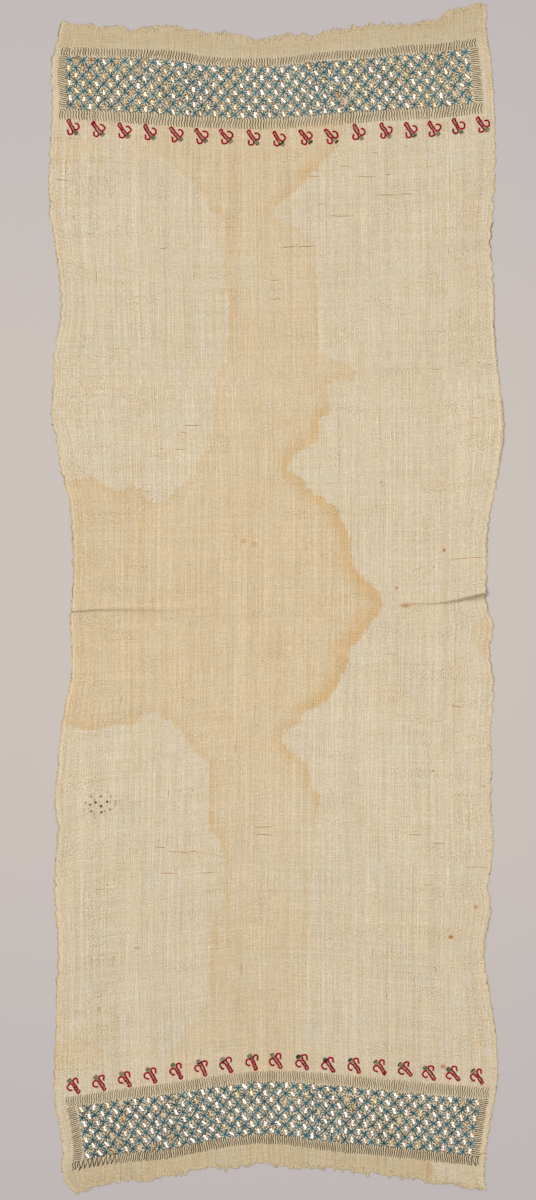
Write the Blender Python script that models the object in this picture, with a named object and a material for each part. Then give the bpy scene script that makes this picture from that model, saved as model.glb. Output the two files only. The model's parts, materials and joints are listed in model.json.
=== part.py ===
"""An embroidered silk scarf, laid out flat.

The scarf is one loom-width length of ecru silk gauze with a selvedge down each side, a raw
end at the top and at the bottom, and a storage crease across its middle. Each end carries an
embroidered band, a field of stars inside a ladder border, and beside it a row of crimson
sprigs. X runs across the cloth, Y along it towards the top end, and Z up from the surface
that it lies on. The origin is below the middle of its outline, on that surface.
"""

import bpy
import numpy as np

MM = 0.001

# The cloth, in millimetres.
CLOTH_THICKNESS = 1.0
SELVEDGE_RIB_WIDTH = 4.0
SELVEDGE_RIB_RISE = 0.4
MEAN_WIDTH = 478.0

# The embroidery lies just clear of the cloth and follows it.
STITCH_GAP = 0.3
STITCH_THICKNESS = 0.5
STAR_RISE = 0.5
PATCH_RISE = 0.2
BORDER_RISE = 0.35
SPRIG_THICKNESS = 0.7

# The two selvedges, from the top end down.
SELVEDGES = np.array(
    [
        (653, -234, 231),
        (631, -237, 230),
        (587, -247, 236),
        (543, -246, 239),
        (499, -248, 240),
        (433, -249, 238),
        (389, -243, 235),
        (345, -237, 238),
        (301, -238, 239),
        (279, -243, 240),
        (235, -245, 245),
        (191, -246, 249),
        (169, -240, 247),
        (147, -238, 244),
        (125, -232, 241),
        (103, -227, 236),
        (81, -225, 232),
        (37, -223, 231),
        (-7, -225, 231),
        (-29, -227, 238),
        (-51, -225, 234),
        (-95, -227, 238),
        (-117, -232, 237),
        (-139, -236, 235),
        (-183, -240, 236),
        (-227, -243, 235),
        (-249, -240, 237),
        (-293, -243, 236),
        (-315, -243, 232),
        (-337, -243, 235),
        (-381, -240, 228),
        (-447, -242, 236),
        (-491, -243, 242),
        (-535, -244, 242),
        (-557, -243, 238),
        (-579, -238, 234),
        (-601, -235, 231),
        (-645, -228, 229),
        (-653, -226, 231),
    ],
    dtype=[("y", float), ("left", float), ("right", float)],
)

# The raw ends, from the left selvedge to the right one.
RAW_ENDS = np.array(
    [
        (-238, 636, -653),
        (-222, 631, -652),
        (-205, 630, -647),
        (-189, 628, -642),
        (-172, 628, -638),
        (-156, 624, -638),
        (-139, 627, -638),
        (-123, 630, -634),
        (-106, 626, -631),
        (-90, 624, -626),
        (-73, 621, -624),
        (-40, 620, -624),
        (-24, 614, -620),
        (-7, 615, -619),
        (9, 620, -624),
        (42, 619, -624),
        (59, 624, -625),
        (75, 626, -627),
        (92, 628, -630),
        (108, 630, -630),
        (141, 631, -635),
        (158, 634, -637),
        (174, 636, -642),
        (191, 646, -642),
        (207, 649, -645),
        (224, 653, -648),
        (232, 653, -651),
    ],
    dtype=[("x", float), ("top", float), ("bottom", float)],
)

# Five threads of the weft as they lie: the edges of both bands, and the crease between them.
WEFT_LINES = np.array(
    [
        (-238, 607, 528, -15, -549, -632),
        (-172, 605, 524, -11, -539, -620),
        (-116, 603, 520, -11, -532, -615),
        (-69, 596, 518, -8, -525, -605),
        (-9, 595, 517, -6, -519, -599),
        (57, 602, 521, -6, -522, -607),
        (110, 605, 525, -5, -527, -612),
        (141, 609, 527, -5, -530, -615),
        (179, 611, 529, -4, -533, -619),
        (226, 618, 534, 6, -537, -624),
    ],
    dtype=[
        ("x", float),
        ("top_outer", float),
        ("top_inner", float),
        ("crease", float),
        ("bottom_inner", float),
        ("bottom_outer", float),
    ],
)

# How far along the cloth each of those threads lies, from the top raw end.
ALONG = {
    "top": 0.0,
    "top_outer": 25.0,
    "top_inner": 106.0,
    "crease": 636.0,
    "bottom_inner": 1158.0,
    "bottom_outer": 1243.0,
    "bottom": 1264.0,
}

# The crease stands up most at the right selvedge, and falls off steeply on its lower side.
CREASE = np.array(
    [
        (-225, 1.8, 12.0, 4.0),
        (-120, 1.0, 10.0, 3.5),
        (-30, 0.4, 8.0, 3.5),
        (60, 0.2, 8.0, 3.5),
        (150, 0.7, 12.0, 4.0),
        (195, 2.4, 20.0, 4.6),
        (231, 4.6, 26.0, 5.6),
    ],
    dtype=[("x", float), ("height", float), ("upper_reach", float), ("lower_reach", float)],
)
CREASE_SHARPNESS = 1.6

# Places where an edge lifts off the surface: its middle, half its length, how high, how far in.
EDGE_LIFTS = np.array(
    [
        (241, 300, 80, 1.6, 34),
        (246, 178, 62, 2.6, 40),
        (232, 72, 48, 1.4, 30),
        (236, -72, 50, 1.1, 28),
        (230, -360, 60, 1.0, 26),
        (-239, 330, 60, 1.0, 26),
        (-224, 60, 70, 1.2, 30),
        (-240, -250, 70, 0.9, 26),
    ],
    dtype=[("x", float), ("y", float), ("half_length", float), ("height", float), ("reach", float)],
)

# Rows and columns of the ground cloth's mesh.
ROW_SPACING = 21.0
COLUMN_COUNT = 30
CREASE_ROWS = (-26.0, -12.0, 0.0, 5.0)

# The bands: their sides as shares of the cloth's width, and the threads that they lie between.
BANDS = {
    "top": {"outer": "top_outer", "inner": "top_inner", "left": 0.015, "right": 0.9755},
    "bottom": {"outer": "bottom_outer", "inner": "bottom_inner", "left": 0.025, "right": 0.987},
}
BORDER_OUTER_SHARE = 0.125
BORDER_INNER_SHARE = 0.15
BORDER_SIDE_SHARE = 0.02
STAR_HALF_STEPS = 58
STAR_ROWS = 7
STAR_EDGE_MARGIN = 0.65
BORDER_COLUMNS = 30
BORDER_SECTION = ((0.0, 0.0), (0.3, 1.0), (0.6, 0.15), (0.8, 0.85), (1.0, 0.0))
EDGE_CLEARANCE = 0.012

# The middle of each sprig, in pairs from the left: the top row, then the bottom row.
SPRIGS = np.array(
    [
        (-223.3, 518.8, -223.9, -535.7),
        (-195.3, 517.0, -195.3, -532.1),
        (-166.9, 515.0, -167.3, -528.0),
        (-138.7, 513.2, -138.7, -523.6),
        (-109.5, 511.3, -110.6, -519.0),
        (-82.0, 509.7, -83.2, -515.6),
        (-54.7, 509.1, -56.0, -512.4),
        (-25.0, 507.5, -27.2, -509.0),
        (3.3, 506.2, -1.2, -508.1),
        (33.0, 508.4, 27.7, -509.5),
        (61.1, 509.3, 56.4, -512.4),
        (90.8, 513.0, 84.7, -513.3),
        (120.8, 515.0, 112.9, -515.2),
        (148.2, 515.9, 140.5, -517.7),
        (174.0, 517.3, 166.9, -521.4),
        (200.3, 519.8, 193.2, -522.7),
        (227.9, 521.6, 219.7, -525.1),
    ],
    dtype=[("top_x", float), ("top_y", float), ("bottom_x", float), ("bottom_y", float)],
)

# A sprig seen from above: a slanting stem with a head at its foot and a scroll on each side.
SPRIG_OUTLINE = (
    (-9.4, 8.6),
    (1.4, -1.0),
    (4.2, -1.5),
    (5.6, 0.9),
    (4.9, 2.5),
    (2.6, 3.9),
    (0.8, 3.8),
    (0.6, 5.5),
    (3.2, 5.7),
    (6.6, 3.8),
    (7.5, 0.8),
    (5.8, -3.6),
    (5.8, -8.4),
    (1.2, -8.4),
    (0.6, -7.2),
    (-3.2, -8.8),
    (-7.2, -8.4),
    (-6.5, -5.2),
    (-7.4, -3.4),
    (-5.7, -2.9),
    (-4.6, -5.0),
    (-5.0, -6.8),
    (-1.6, -6.6),
    (-2.0, -3.2),
    (-11.0, 6.6),
)


def smooth_curve(at, stations, values):
    """A curve through the stations, held level past the first and the last."""
    order = np.argsort(stations)
    stations = stations[order]
    values = values[order]
    slopes = np.gradient(values, stations)
    at = np.clip(at, stations[0], stations[-1])
    left = np.clip(np.searchsorted(stations, at) - 1, 0, len(stations) - 2)
    span = stations[left + 1] - stations[left]
    q = (at - stations[left]) / span
    rise = values[left + 1] - values[left]
    bend = (slopes[left] * span - rise) * (1 - q) + (rise - slopes[left + 1] * span) * q
    return values[left] + q * rise + q * (1 - q) * bend


def weft_y(x, along):
    """Y of the weft thread that lies this far along the cloth, at x."""
    lines = [smooth_curve(x, RAW_ENDS["x"], RAW_ENDS["top"])]
    for name in WEFT_LINES.dtype.names[1:]:
        lines.append(smooth_curve(x, WEFT_LINES["x"], WEFT_LINES[name]))
    lines.append(smooth_curve(x, RAW_ENDS["x"], RAW_ENDS["bottom"]))
    return np.interp(along, list(ALONG.values()), lines)


def cloth_xy(across, along):
    """Where a point of the cloth lies, from its share of the width and its length along."""
    x = (across - 0.5) * MEAN_WIDTH
    for _ in range(4):
        y = weft_y(x, along)
        left = smooth_curve(y, SELVEDGES["y"], SELVEDGES["left"])
        right = smooth_curve(y, SELVEDGES["y"], SELVEDGES["right"])
        x = left + (right - left) * across
    return x, y


def crease_lift(x, y):
    """Height of the storage crease: a pinched ridge across the middle."""
    crest = smooth_curve(x, WEFT_LINES["x"], WEFT_LINES["crease"])
    side = "upper_reach" if y > crest else "lower_reach"
    reach = smooth_curve(x, CREASE["x"], CREASE[side])
    height = smooth_curve(x, CREASE["x"], CREASE["height"])
    fall = max(0.0, 1.0 - abs(y - crest) / reach)
    return height * fall**CREASE_SHARPNESS


def edge_lift(x, y):
    """Height of the soft waves along the selvedges."""
    lift = 0.0
    for wave in EDGE_LIFTS:
        inward = abs(x - wave["x"]) / wave["reach"]
        sideways = abs(y - wave["y"]) / wave["half_length"]
        if inward < 1.0 and sideways < 1.0:
            swell = 0.5 + 0.5 * np.cos(np.pi * sideways)
            lift += wave["height"] * swell * (1.0 - inward) ** 2
    return lift


def underside_z(x, y):
    """Height of the cloth's underside, which is zero wherever it rests."""
    return max(crease_lift(x, y), edge_lift(x, y))


def face_z(x, y):
    """Height of the cloth's upper face away from the selvedge ribs."""
    return underside_z(x, y) + CLOTH_THICKNESS


def principled(name, rgb, roughness, metallic=0.0):
    """A plain finish of one colour."""
    material = bpy.data.materials.new(name)
    material.use_nodes = True
    shader = material.node_tree.nodes["Principled BSDF"]
    shader.inputs["Base Color"].default_value = (*rgb, 1.0)
    shader.inputs["Roughness"].default_value = roughness
    shader.inputs["Metallic"].default_value = metallic
    return material


def add_solid(name, vertices, faces, material):
    """A named object at the origin, from points in millimetres."""
    mesh = bpy.data.meshes.new(name)
    mesh.from_pydata([(x * MM, y * MM, z * MM) for x, y, z in vertices], [], faces)
    mesh.materials.append(material)
    mesh.validate()
    solid = bpy.data.objects.new(name, mesh)
    bpy.context.collection.objects.link(solid)
    return solid


def slab(name, lower, upper, material):
    """A closed wall between two grids of points that match, seen from above left to right."""
    rows = len(upper)
    columns = len(upper[0])
    vertices = [point for row in upper for point in row]
    vertices += [point for row in lower for point in row]
    below = rows * columns
    faces = []
    for r in range(rows - 1):
        for c in range(columns - 1):
            corner = r * columns + c
            ring = (corner, corner + columns, corner + columns + 1, corner + 1)
            faces.append(ring)
            faces.append(tuple(below + index for index in reversed(ring)))
    rim = [c for c in range(columns)]
    rim += [r * columns + columns - 1 for r in range(1, rows)]
    rim += [(rows - 1) * columns + c for c in range(columns - 2, -1, -1)]
    rim += [r * columns for r in range(rows - 2, 0, -1)]
    for start, end in zip(rim, rim[1:] + rim[:1]):
        faces.append((start, end, below + end, below + start))
    return add_solid(name, vertices, faces, material)


def row_positions():
    """How far along the cloth each row of its mesh lies, with rows on the crease."""
    stops = list(ALONG.values())
    rows = []
    for start, end in zip(stops, stops[1:]):
        count = max(2, round((end - start) / ROW_SPACING))
        rows += list(np.linspace(start, end, count, endpoint=False))
    rows.append(ALONG["bottom"])
    crease_rows = [ALONG["crease"] + offset for offset in CREASE_ROWS]
    clear = ROW_SPACING * 0.4
    rows = [row for row in rows if min(abs(row - own) for own in crease_rows) > clear]
    return sorted(rows + crease_rows)


def column_positions():
    """Shares of the width, with the rib of each selvedge between its own columns."""
    rib = SELVEDGE_RIB_WIDTH / MEAN_WIDTH
    inner = list(np.linspace(rib, 1.0 - rib, COLUMN_COUNT))
    return [0.0, rib / 2] + inner + [1.0 - rib / 2, 1.0]


def rib_rise(across):
    """How far the selvedge rib stands above the face: full at its middle, half at its edge."""
    from_edge = min(across, 1.0 - across) * MEAN_WIDTH
    stations = (0.0, SELVEDGE_RIB_WIDTH / 2, SELVEDGE_RIB_WIDTH)
    return np.interp(from_edge, stations, (0.5 * SELVEDGE_RIB_RISE, SELVEDGE_RIB_RISE, 0.0))


def build_ground_cloth(material):
    """The woven length itself."""
    lower = []
    upper = []
    for along in row_positions():
        lower_row = []
        upper_row = []
        for across in column_positions():
            x, y = cloth_xy(across, along)
            z = underside_z(x, y)
            lower_row.append((x, y, z))
            upper_row.append((x, y, z + CLOTH_THICKNESS + rib_rise(across)))
        lower.append(lower_row)
        upper.append(upper_row)
    return slab("ground_cloth", lower, upper, material)


def band_xy(band, u, v):
    """A point of a band: u from its left side to its right, v from its outer edge inward."""
    across = band["left"] + (band["right"] - band["left"]) * u
    along = ALONG[band["outer"]] + (ALONG[band["inner"]] - ALONG[band["outer"]]) * v
    return cloth_xy(across, along)


def band_slab(name, band, us, vs, rise, material):
    """A stitched area on the cloth, over a grid of band places, with its own relief."""
    lower = []
    upper = []
    if band["outer"].startswith("bottom"):
        vs = vs[::-1]
        rise = rise[::-1]
    for v, rise_row in zip(vs, rise):
        lower_row = []
        upper_row = []
        for u, lift in zip(us, rise_row):
            x, y = band_xy(band, u, v)
            z = face_z(x, y) + STITCH_GAP
            lower_row.append((x, y, z))
            upper_row.append((x, y, z + STITCH_THICKNESS + lift))
        lower.append(lower_row)
        upper.append(upper_row)
    return slab(name, lower, upper, material)


def build_star_field(name, band, material):
    """The field of stars: each stands highest at its crossing, with a flat patch between."""
    us = np.linspace(BORDER_SIDE_SHARE, 1.0 - BORDER_SIDE_SHARE, STAR_HALF_STEPS + 1)
    low = BORDER_OUTER_SHARE
    high = 1.0 - BORDER_INNER_SHARE
    steps = STAR_ROWS - 1 + 2 * STAR_EDGE_MARGIN
    pitch = (high - low) / steps
    vs = [low] + [low + (STAR_EDGE_MARGIN + k) * pitch for k in range(STAR_ROWS)] + [high]
    rise = []
    for row in range(len(vs)):
        edge_row = row in (0, len(vs) - 1)
        lifts = [STAR_RISE if (row + c) % 2 else PATCH_RISE for c in range(len(us))]
        rise.append([0.0] * len(us) if edge_row else [0.0] + lifts[1:-1] + [0.0])
    return band_slab(name, band, us, vs, rise, material)


def build_border_run(name, band, v_start, v_end, material):
    """One of the two long sides of a ladder border, a wide and a narrow ridge."""
    us = np.linspace(0.0, 1.0, BORDER_COLUMNS + 1)
    vs = [v_start + (v_end - v_start) * place for place, _ in BORDER_SECTION]
    rise = [[share * BORDER_RISE] * len(us) for _, share in BORDER_SECTION]
    if v_start > v_end:
        vs = vs[::-1]
        rise = rise[::-1]
    return band_slab(name, band, us, vs, rise, material)


def build_border_side(name, band, u_start, u_end, material):
    """One of the two short sides of a ladder border, between the long ones."""
    us = [u_start + (u_end - u_start) * place for place in (0.0, 0.5, 1.0)]
    vs = np.linspace(BORDER_OUTER_SHARE, 1.0 - BORDER_INNER_SHARE, 7)
    rise = [[0.0, BORDER_RISE, 0.0] for _ in vs]
    return band_slab(name, band, us, list(vs), rise, material)


def build_band(end, star_material, border_material):
    """An embroidered band: its field of stars and the four sides of its border."""
    band = BANDS[end]
    gap = EDGE_CLEARANCE
    build_star_field(f"{end}_star_field", band, star_material)
    build_border_run(
        f"{end}_border_outer", band, BORDER_OUTER_SHARE - gap, 0.0, border_material
    )
    build_border_run(
        f"{end}_border_inner", band, 1.0 - BORDER_INNER_SHARE + gap, 1.0 - gap, border_material
    )
    inset = BORDER_SIDE_SHARE * 0.95
    build_border_side(f"{end}_border_left", band, 0.0, inset, border_material)
    build_border_side(f"{end}_border_right", band, 1.0 - inset, 1.0, border_material)


def build_sprig(name, centre_x, centre_y, turn, material):
    """One sprig, a flat plate of stitches in its outline, turned half round at the bottom."""
    count = len(SPRIG_OUTLINE)
    vertices = []
    for layer in (SPRIG_THICKNESS, 0.0):
        for local_x, local_y in SPRIG_OUTLINE:
            x = centre_x + turn * local_x
            y = centre_y + turn * local_y
            vertices.append((x, y, face_z(x, y) + STITCH_GAP + layer))
    top = tuple(reversed(range(count)))
    bottom = tuple(range(count, 2 * count))
    sides = []
    for start in range(count):
        end = (start + 1) % count
        sides.append((start, end, count + end, count + start))
    return add_solid(name, vertices, [top, bottom] + sides, material)


def build_sprig_rows(material):
    """Both rows of sprigs, the bottom one with its motif upside down."""
    for number, place in enumerate(SPRIGS, start=1):
        build_sprig(f"top_sprig_{number:02d}", place["top_x"], place["top_y"], 1, material)
        build_sprig(
            f"bottom_sprig_{number:02d}", place["bottom_x"], place["bottom_y"], -1, material
        )


def build_scarf():
    """The whole scarf, in its own frame."""
    for old in list(bpy.data.objects):
        bpy.data.objects.remove(old, do_unlink=True)
    gauze = principled("ecru silk gauze", (0.70, 0.60, 0.42), 0.8)
    star_silk = principled("blue silk with silver strip", (0.12, 0.26, 0.33), 0.55)
    border_thread = principled("tarnished metal thread", (0.28, 0.22, 0.15), 0.5, 0.6)
    crimson = principled("crimson silk", (0.42, 0.01, 0.05), 0.5)
    build_ground_cloth(gauze)
    for end in BANDS:
        build_band(end, star_silk, border_thread)
    build_sprig_rows(crimson)


build_scarf()
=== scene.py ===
"""Looks of an embroidered silk gauze scarf, laid flat and seen from straight above.

The CAD model gives the scarf's outline, its crease and the places of its embroidery. This
script dresses it: a fine gauze shell with its weave, stains and worn ends, stitched stars with
flat metal strip between them, ladder borders of tarnished thread, and rows of crimson sprigs.
Lengths are in millimetres until a mesh is made. X runs across the cloth, Y along it to the top
end, and Z up from the surface that it lies on.
"""

import json
import logging
import math
from dataclasses import dataclass, field
from enum import Enum
from typing import Any, NamedTuple

import bpy
import numpy as np
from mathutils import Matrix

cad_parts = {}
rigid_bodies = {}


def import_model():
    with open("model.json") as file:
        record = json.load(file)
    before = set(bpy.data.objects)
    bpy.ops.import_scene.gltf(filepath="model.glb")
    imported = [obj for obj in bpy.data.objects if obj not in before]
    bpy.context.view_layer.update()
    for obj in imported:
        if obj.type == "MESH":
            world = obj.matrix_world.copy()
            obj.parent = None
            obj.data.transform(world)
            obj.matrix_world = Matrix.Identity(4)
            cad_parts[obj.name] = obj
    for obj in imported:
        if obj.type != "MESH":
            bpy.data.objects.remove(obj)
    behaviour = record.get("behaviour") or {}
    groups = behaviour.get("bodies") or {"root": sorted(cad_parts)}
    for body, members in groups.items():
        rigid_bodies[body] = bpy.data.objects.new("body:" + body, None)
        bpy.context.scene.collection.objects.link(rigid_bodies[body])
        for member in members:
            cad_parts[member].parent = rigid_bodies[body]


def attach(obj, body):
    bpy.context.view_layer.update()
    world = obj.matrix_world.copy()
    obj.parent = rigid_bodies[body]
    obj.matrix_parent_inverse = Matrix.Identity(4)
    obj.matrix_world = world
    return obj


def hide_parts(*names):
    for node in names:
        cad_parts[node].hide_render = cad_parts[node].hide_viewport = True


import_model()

# Short names for types.
Array = np.ndarray
Chance = np.random.Generator
Material = bpy.types.Material
Piece = bpy.types.Object
Tree = bpy.types.NodeTree

LOG = logging.getLogger("scarf")
MM = 0.001
BODY = "root"

# The photograph's frame, and the real size of one of its pixels.
PHOTO_WIDTH = 536
PHOTO_HEIGHT = 1200
PHOTO_PIXEL = 1.1
PHOTO_ORIGIN_X = 276.5
PHOTO_ORIGIN_Y = 599.0

# One unit of the cloth's UV map, so that the whole length stays inside the map.
UV_SPAN = 1300.0

SILK_IOR = 1.54

# Settings that many nodes share.
SMOOTH = {"interpolation_type": "SMOOTHSTEP"}
UNCLAMPED = {"clamp": False}
MIX_COLOUR = {"data_type": "RGBA"}


def table(columns: str, rows: list[tuple]) -> Array:
    """Puts rows of numbers into an array whose columns have names.

    Args:
        columns: The names, with a space between them.
        rows: The rows.

    Returns:
        The array. A column is read by its name.
    """
    return np.array(rows, dtype=[(name, float) for name in columns.split()])


# Tables of the cloth's own form. These repeat the CAD model's values.

SELVEDGES = table(
    "y left right",
    [
        (653, -234, 231), (631, -237, 230), (587, -247, 236), (543, -246, 239), (499, -248, 240),
        (433, -249, 238), (389, -243, 235), (345, -237, 238), (301, -238, 239), (279, -243, 240),
        (235, -245, 245), (191, -246, 249), (169, -240, 247), (147, -238, 244), (125, -232, 241),
        (103, -227, 236), (81, -225, 232), (37, -223, 231), (-7, -225, 231), (-29, -227, 238),
        (-51, -225, 234), (-95, -227, 238), (-117, -232, 237), (-139, -236, 235), (-183, -240, 236),
        (-227, -243, 235), (-249, -240, 237), (-293, -243, 236), (-315, -243, 232), (-337, -243, 235),
        (-381, -240, 228), (-447, -242, 236), (-491, -243, 242), (-535, -244, 242), (-557, -243, 238),
        (-579, -238, 234), (-601, -235, 231), (-642, -231, 229), (-653, -222, 231),
    ],
)

RAW_ENDS = table(
    "x top bottom",
    [
        (-238, 636, -653), (-222, 631, -652), (-205, 630, -647), (-189, 628, -642), (-172, 628, -638),
        (-156, 624, -638), (-139, 627, -638), (-123, 630, -634), (-106, 626, -631), (-90, 624, -626),
        (-73, 621, -624), (-40, 620, -624), (-24, 614, -620), (-7, 615, -619), (9, 620, -624),
        (42, 619, -624), (59, 624, -625), (75, 626, -627), (92, 628, -630), (108, 630, -630),
        (141, 631, -635), (158, 634, -637), (174, 636, -642), (191, 646, -642), (207, 649, -645),
        (224, 653, -648), (232, 653, -651),
    ],
)

WEFT_LINES = table(
    "x top_outer top_inner crease bottom_inner bottom_outer",
    [
        (-238, 607, 528, -15, -549, -632), (-172, 605, 524, -11, -539, -620),
        (-116, 603, 520, -11, -532, -615), (-69, 596, 518, -8, -525, -605),
        (-9, 595, 517, -6, -519, -599), (57, 602, 521, -6, -522, -607), (110, 605, 525, -5, -527, -612),
        (141, 609, 527, -5, -530, -615), (179, 611, 529, -4, -533, -619),
        (226, 618, 534, 6, -537, -624),
    ],
)

ALONG = {
    "top": 0.0, "top_outer": 25.0, "top_inner": 106.0, "crease": 636.0, "bottom_inner": 1158.0,
    "bottom_outer": 1243.0, "bottom": 1264.0,
}

CREASE = table(
    "x height upper_reach lower_reach",
    [
        (-225, 1.8, 12, 4), (-120, 1, 10, 3.5), (-30, 0.4, 8, 3.5), (60, 0.2, 8, 3.5),
        (150, 0.7, 12, 4), (195, 2.4, 20, 4.6), (231, 4.6, 26, 5.6),
    ],
)

EDGE_LIFTS = table(
    "x y half_length height reach",
    [
        (241, 300, 80, 1.6, 34), (246, 178, 62, 2.6, 40), (232, 72, 48, 1.4, 30),
        (236, -72, 50, 1.1, 28), (230, -360, 60, 1, 26), (-239, 330, 60, 1, 26),
        (-224, 60, 70, 1.2, 30), (-240, -250, 70, 0.9, 26),
    ],
)

# The motifs' places, in pairs from the left: the top row, then the bottom row.
SPRIGS = table(
    "top_x top_y bottom_x bottom_y",
    [
        (-223.3, 518.8, -223.9, -535.7), (-195.3, 517, -195.3, -532.1), (-166.9, 515, -167.3, -528),
        (-138.7, 513.2, -138.7, -523.6), (-109.5, 511.3, -110.6, -519), (-82, 509.7, -83.2, -515.6),
        (-54.7, 509.1, -56, -512.4), (-25, 507.5, -27.2, -509), (3.3, 506.2, -1.2, -508.1),
        (33, 508.4, 27.7, -509.5), (61.1, 509.3, 56.4, -512.4), (90.8, 513, 84.7, -513.3),
        (120.8, 515, 112.9, -515.2), (148.2, 515.9, 140.5, -517.7), (174, 517.3, 166.9, -521.4),
        (200.3, 519.8, 193.2, -522.7), (227.9, 521.6, 219.7, -525.1),
    ],
)

# How dark the painted shade on the crease's lower side is across the width, and how wide that line is.
PAINTED_CREASE_SHADE = table(
    "x depth width",
    [
        (-236, 0.8, 0.9), (-196, 0.75, 0.8), (-182, 0.3, 2), (-145, 0.16, 4.5), (-110, 0.08, 4.5),
        (-85, 0, 4), (130, 0, 1), (158, 0.35, 1), (190, 0.45, 2.4), (204, 0.5, 3.8), (219, 0.55, 5.2),
        (232, 0.55, 6.2),
    ],
)

# The large water stain, clockwise from its upper left, in the photograph's pixels. The tide
# column says how dark and broad the dried edge is there.
MAIN_STAIN = table(
    "photo_x photo_y tide",
    [
        (150, 122, 0), (159, 154, 0.1), (175, 166, 0.15), (187, 177, 0.25), (196, 184, 0.3),
        (204, 195, 0.4), (208, 209, 0.4), (223, 218, 0.35), (224, 230, 0.4), (222, 264, 0.4),
        (225, 287, 0.45), (230, 304, 0.45), (228, 334, 0.4), (226, 362, 0.35), (219, 372, 0.3),
        (215, 386, 0.3), (214, 431, 0.35), (208, 449, 0.3), (199, 458, 0.3), (196, 472, 0.3),
        (187, 481, 0.3), (175, 490, 0.3), (165, 500, 0.35), (153, 504, 0.35), (147, 501, 0.35),
        (144, 493, 0.4), (135, 484, 0.4), (129, 484, 0.4), (121, 492, 0.4), (110, 489, 0.4),
        (101, 482, 0.4), (92, 477, 0.4), (77, 480, 0.4), (40, 481, 0.3), (40, 600, 0), (40, 723, 0),
        (64, 724, 0.5), (95, 732, 0.55), (107, 726, 0.55), (132, 726, 0.5), (141, 715, 0.4),
        (156, 712, 0.35), (169, 720, 0.35), (181, 731, 0.4), (193, 749, 0.4), (207, 763, 0.5),
        (208, 771, 0.5), (209, 829, 0.5), (221, 841, 0.4), (224, 862, 0.3), (223, 907, 0.3),
        (214, 914, 0.4), (211, 930, 0.5), (209, 976, 0.4), (208, 1003, 0.2), (184, 1034, 0.1),
        (168, 1058, 0), (166, 1090, 0), (330, 1082, 0), (306, 1044, 0), (303, 1026, 0.1),
        (309, 951, 0.05), (311, 893, 0.1), (315, 832, 0.15), (318, 807, 0.4), (322, 797, 0.6),
        (311, 786, 0.55), (309, 766, 0.55), (294, 754, 0.6), (284, 745, 0.6), (281, 738, 0.6),
        (285, 731, 0.7), (300, 724, 0.75), (306, 711, 0.85), (318, 706, 0.95), (328, 700, 1),
        (337, 686, 1), (346, 669, 1), (349, 649, 1), (358, 642, 1), (369, 625, 1), (380, 614, 1),
        (383, 602, 1), (378, 591, 1), (361, 576, 1), (352, 562, 0.95), (351, 547, 0.95),
        (348, 532, 0.95), (341, 519, 0.95), (337, 507, 0.95), (322, 498, 0.85), (309, 489, 0.85),
        (303, 478, 0.8), (286, 469, 0.75), (290, 460, 0.8), (300, 450, 0.7), (314, 444, 0.75),
        (319, 434, 0.8), (320, 418, 0.75), (329, 414, 0.75), (332, 411, 0.65), (326, 389, 0.35),
        (334, 380, 0.35), (352, 380, 0.4), (357, 374, 0.4), (349, 362, 0.3), (331, 360, 0.2),
        (317, 346, 0.15), (318, 334, 0.15), (316, 249, 0.1), (300, 226, 0), (276, 222, 0.35),
        (274, 209, 0.55), (282, 201, 0.6), (294, 192, 0.6), (303, 183, 0.65), (309, 175, 0.65),
        (323, 163, 0.6), (331, 154, 0.55), (341, 144, 0.5), (346, 122, 0.25),
    ],
)

# How deep the stain's colour is, down the length.
STAIN_TONE = table(
    "photo_y tone",
    [
        (120, 0.85), (200, 0.9), (245, 0.75), (395, 0.8), (450, 0.9), (520, 1), (700, 1), (760, 0.85),
        (800, 0.6), (900, 0.5), (960, 0.55), (1060, 0.55), (1100, 0.3),
    ],
)

# Smaller soft patches of the same stain, and one soft band of painted shade along a faint fold.
STAIN_PATCHES = table(
    "photo_x photo_y half_width half_height tone",
    [
        (66, 150, 16, 17, 0.9), (96, 154, 12, 12, 0.8), (142, 148, 18, 18, 0.75),
        (343, 118, 16, 10, 0.8), (482, 638, 9, 17, 1), (437, 30, 12, 6, 0.6), (428, 1168, 18, 8, 1.1),
        (360, 1078, 14, 12, 0.7), (318, 1052, 12, 8, 0.6), (295, 1021, 10, 7, 0.8),
        (78, 1052, 26, 14, 0.8), (112, 1042, 12, 8, 0.4), (300, 290, 16, 70, 0.25),
        (480, 268, 18, 3, 0.7), (90, 235, 34, 2.5, 0.7), (62, 420, 6, 40, 0.35), (488, 900, 5, 60, 0.4),
        # The row at (93, 916) is a band of painted shade along a faint fold.
        (93, 916, 26, 3, 0.5), (420, 1176, 14, 12, 1.1),
    ],
)

# Where the stains stop at the bottom right corner: the line's photo_x and its upper end.
CLEAN_CORNER = (434.0, 1158.0)

SPOT_COLUMNS = "photo_x photo_y half_width half_height depth"

# A small hole beside the bottom band, which shows the paper.
HOLE = table(SPOT_COLUMNS, [(84.6, 1158.5, 1.3, 2.8, 1.0)])[0]

# The worn patch of plain brown dots.
WORN_MARK = table(SPOT_COLUMNS, [(101.0, 805.0, 15.0, 12.0, 1.0)])[0]

# Stretches of the selvedge cords that are dirty or torn: -1 is the left side.
DIRTY_CORDS = table(
    "side top bottom tint",
    [
        (1, 415, 385, 0), (1, 379, 372, 0.1), (1, 303, 297, 0), (-1, 640, 617, 0.2),
        (-1, 606, 590, 0.35), (-1, 18, 2, 0.1), (1, 10, -14, 0.15),
    ],
)

# The gap in the top band that has lost its strip and is stained brown, in the photograph.
LOST_STRIP = (91.0, 59.5)

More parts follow.
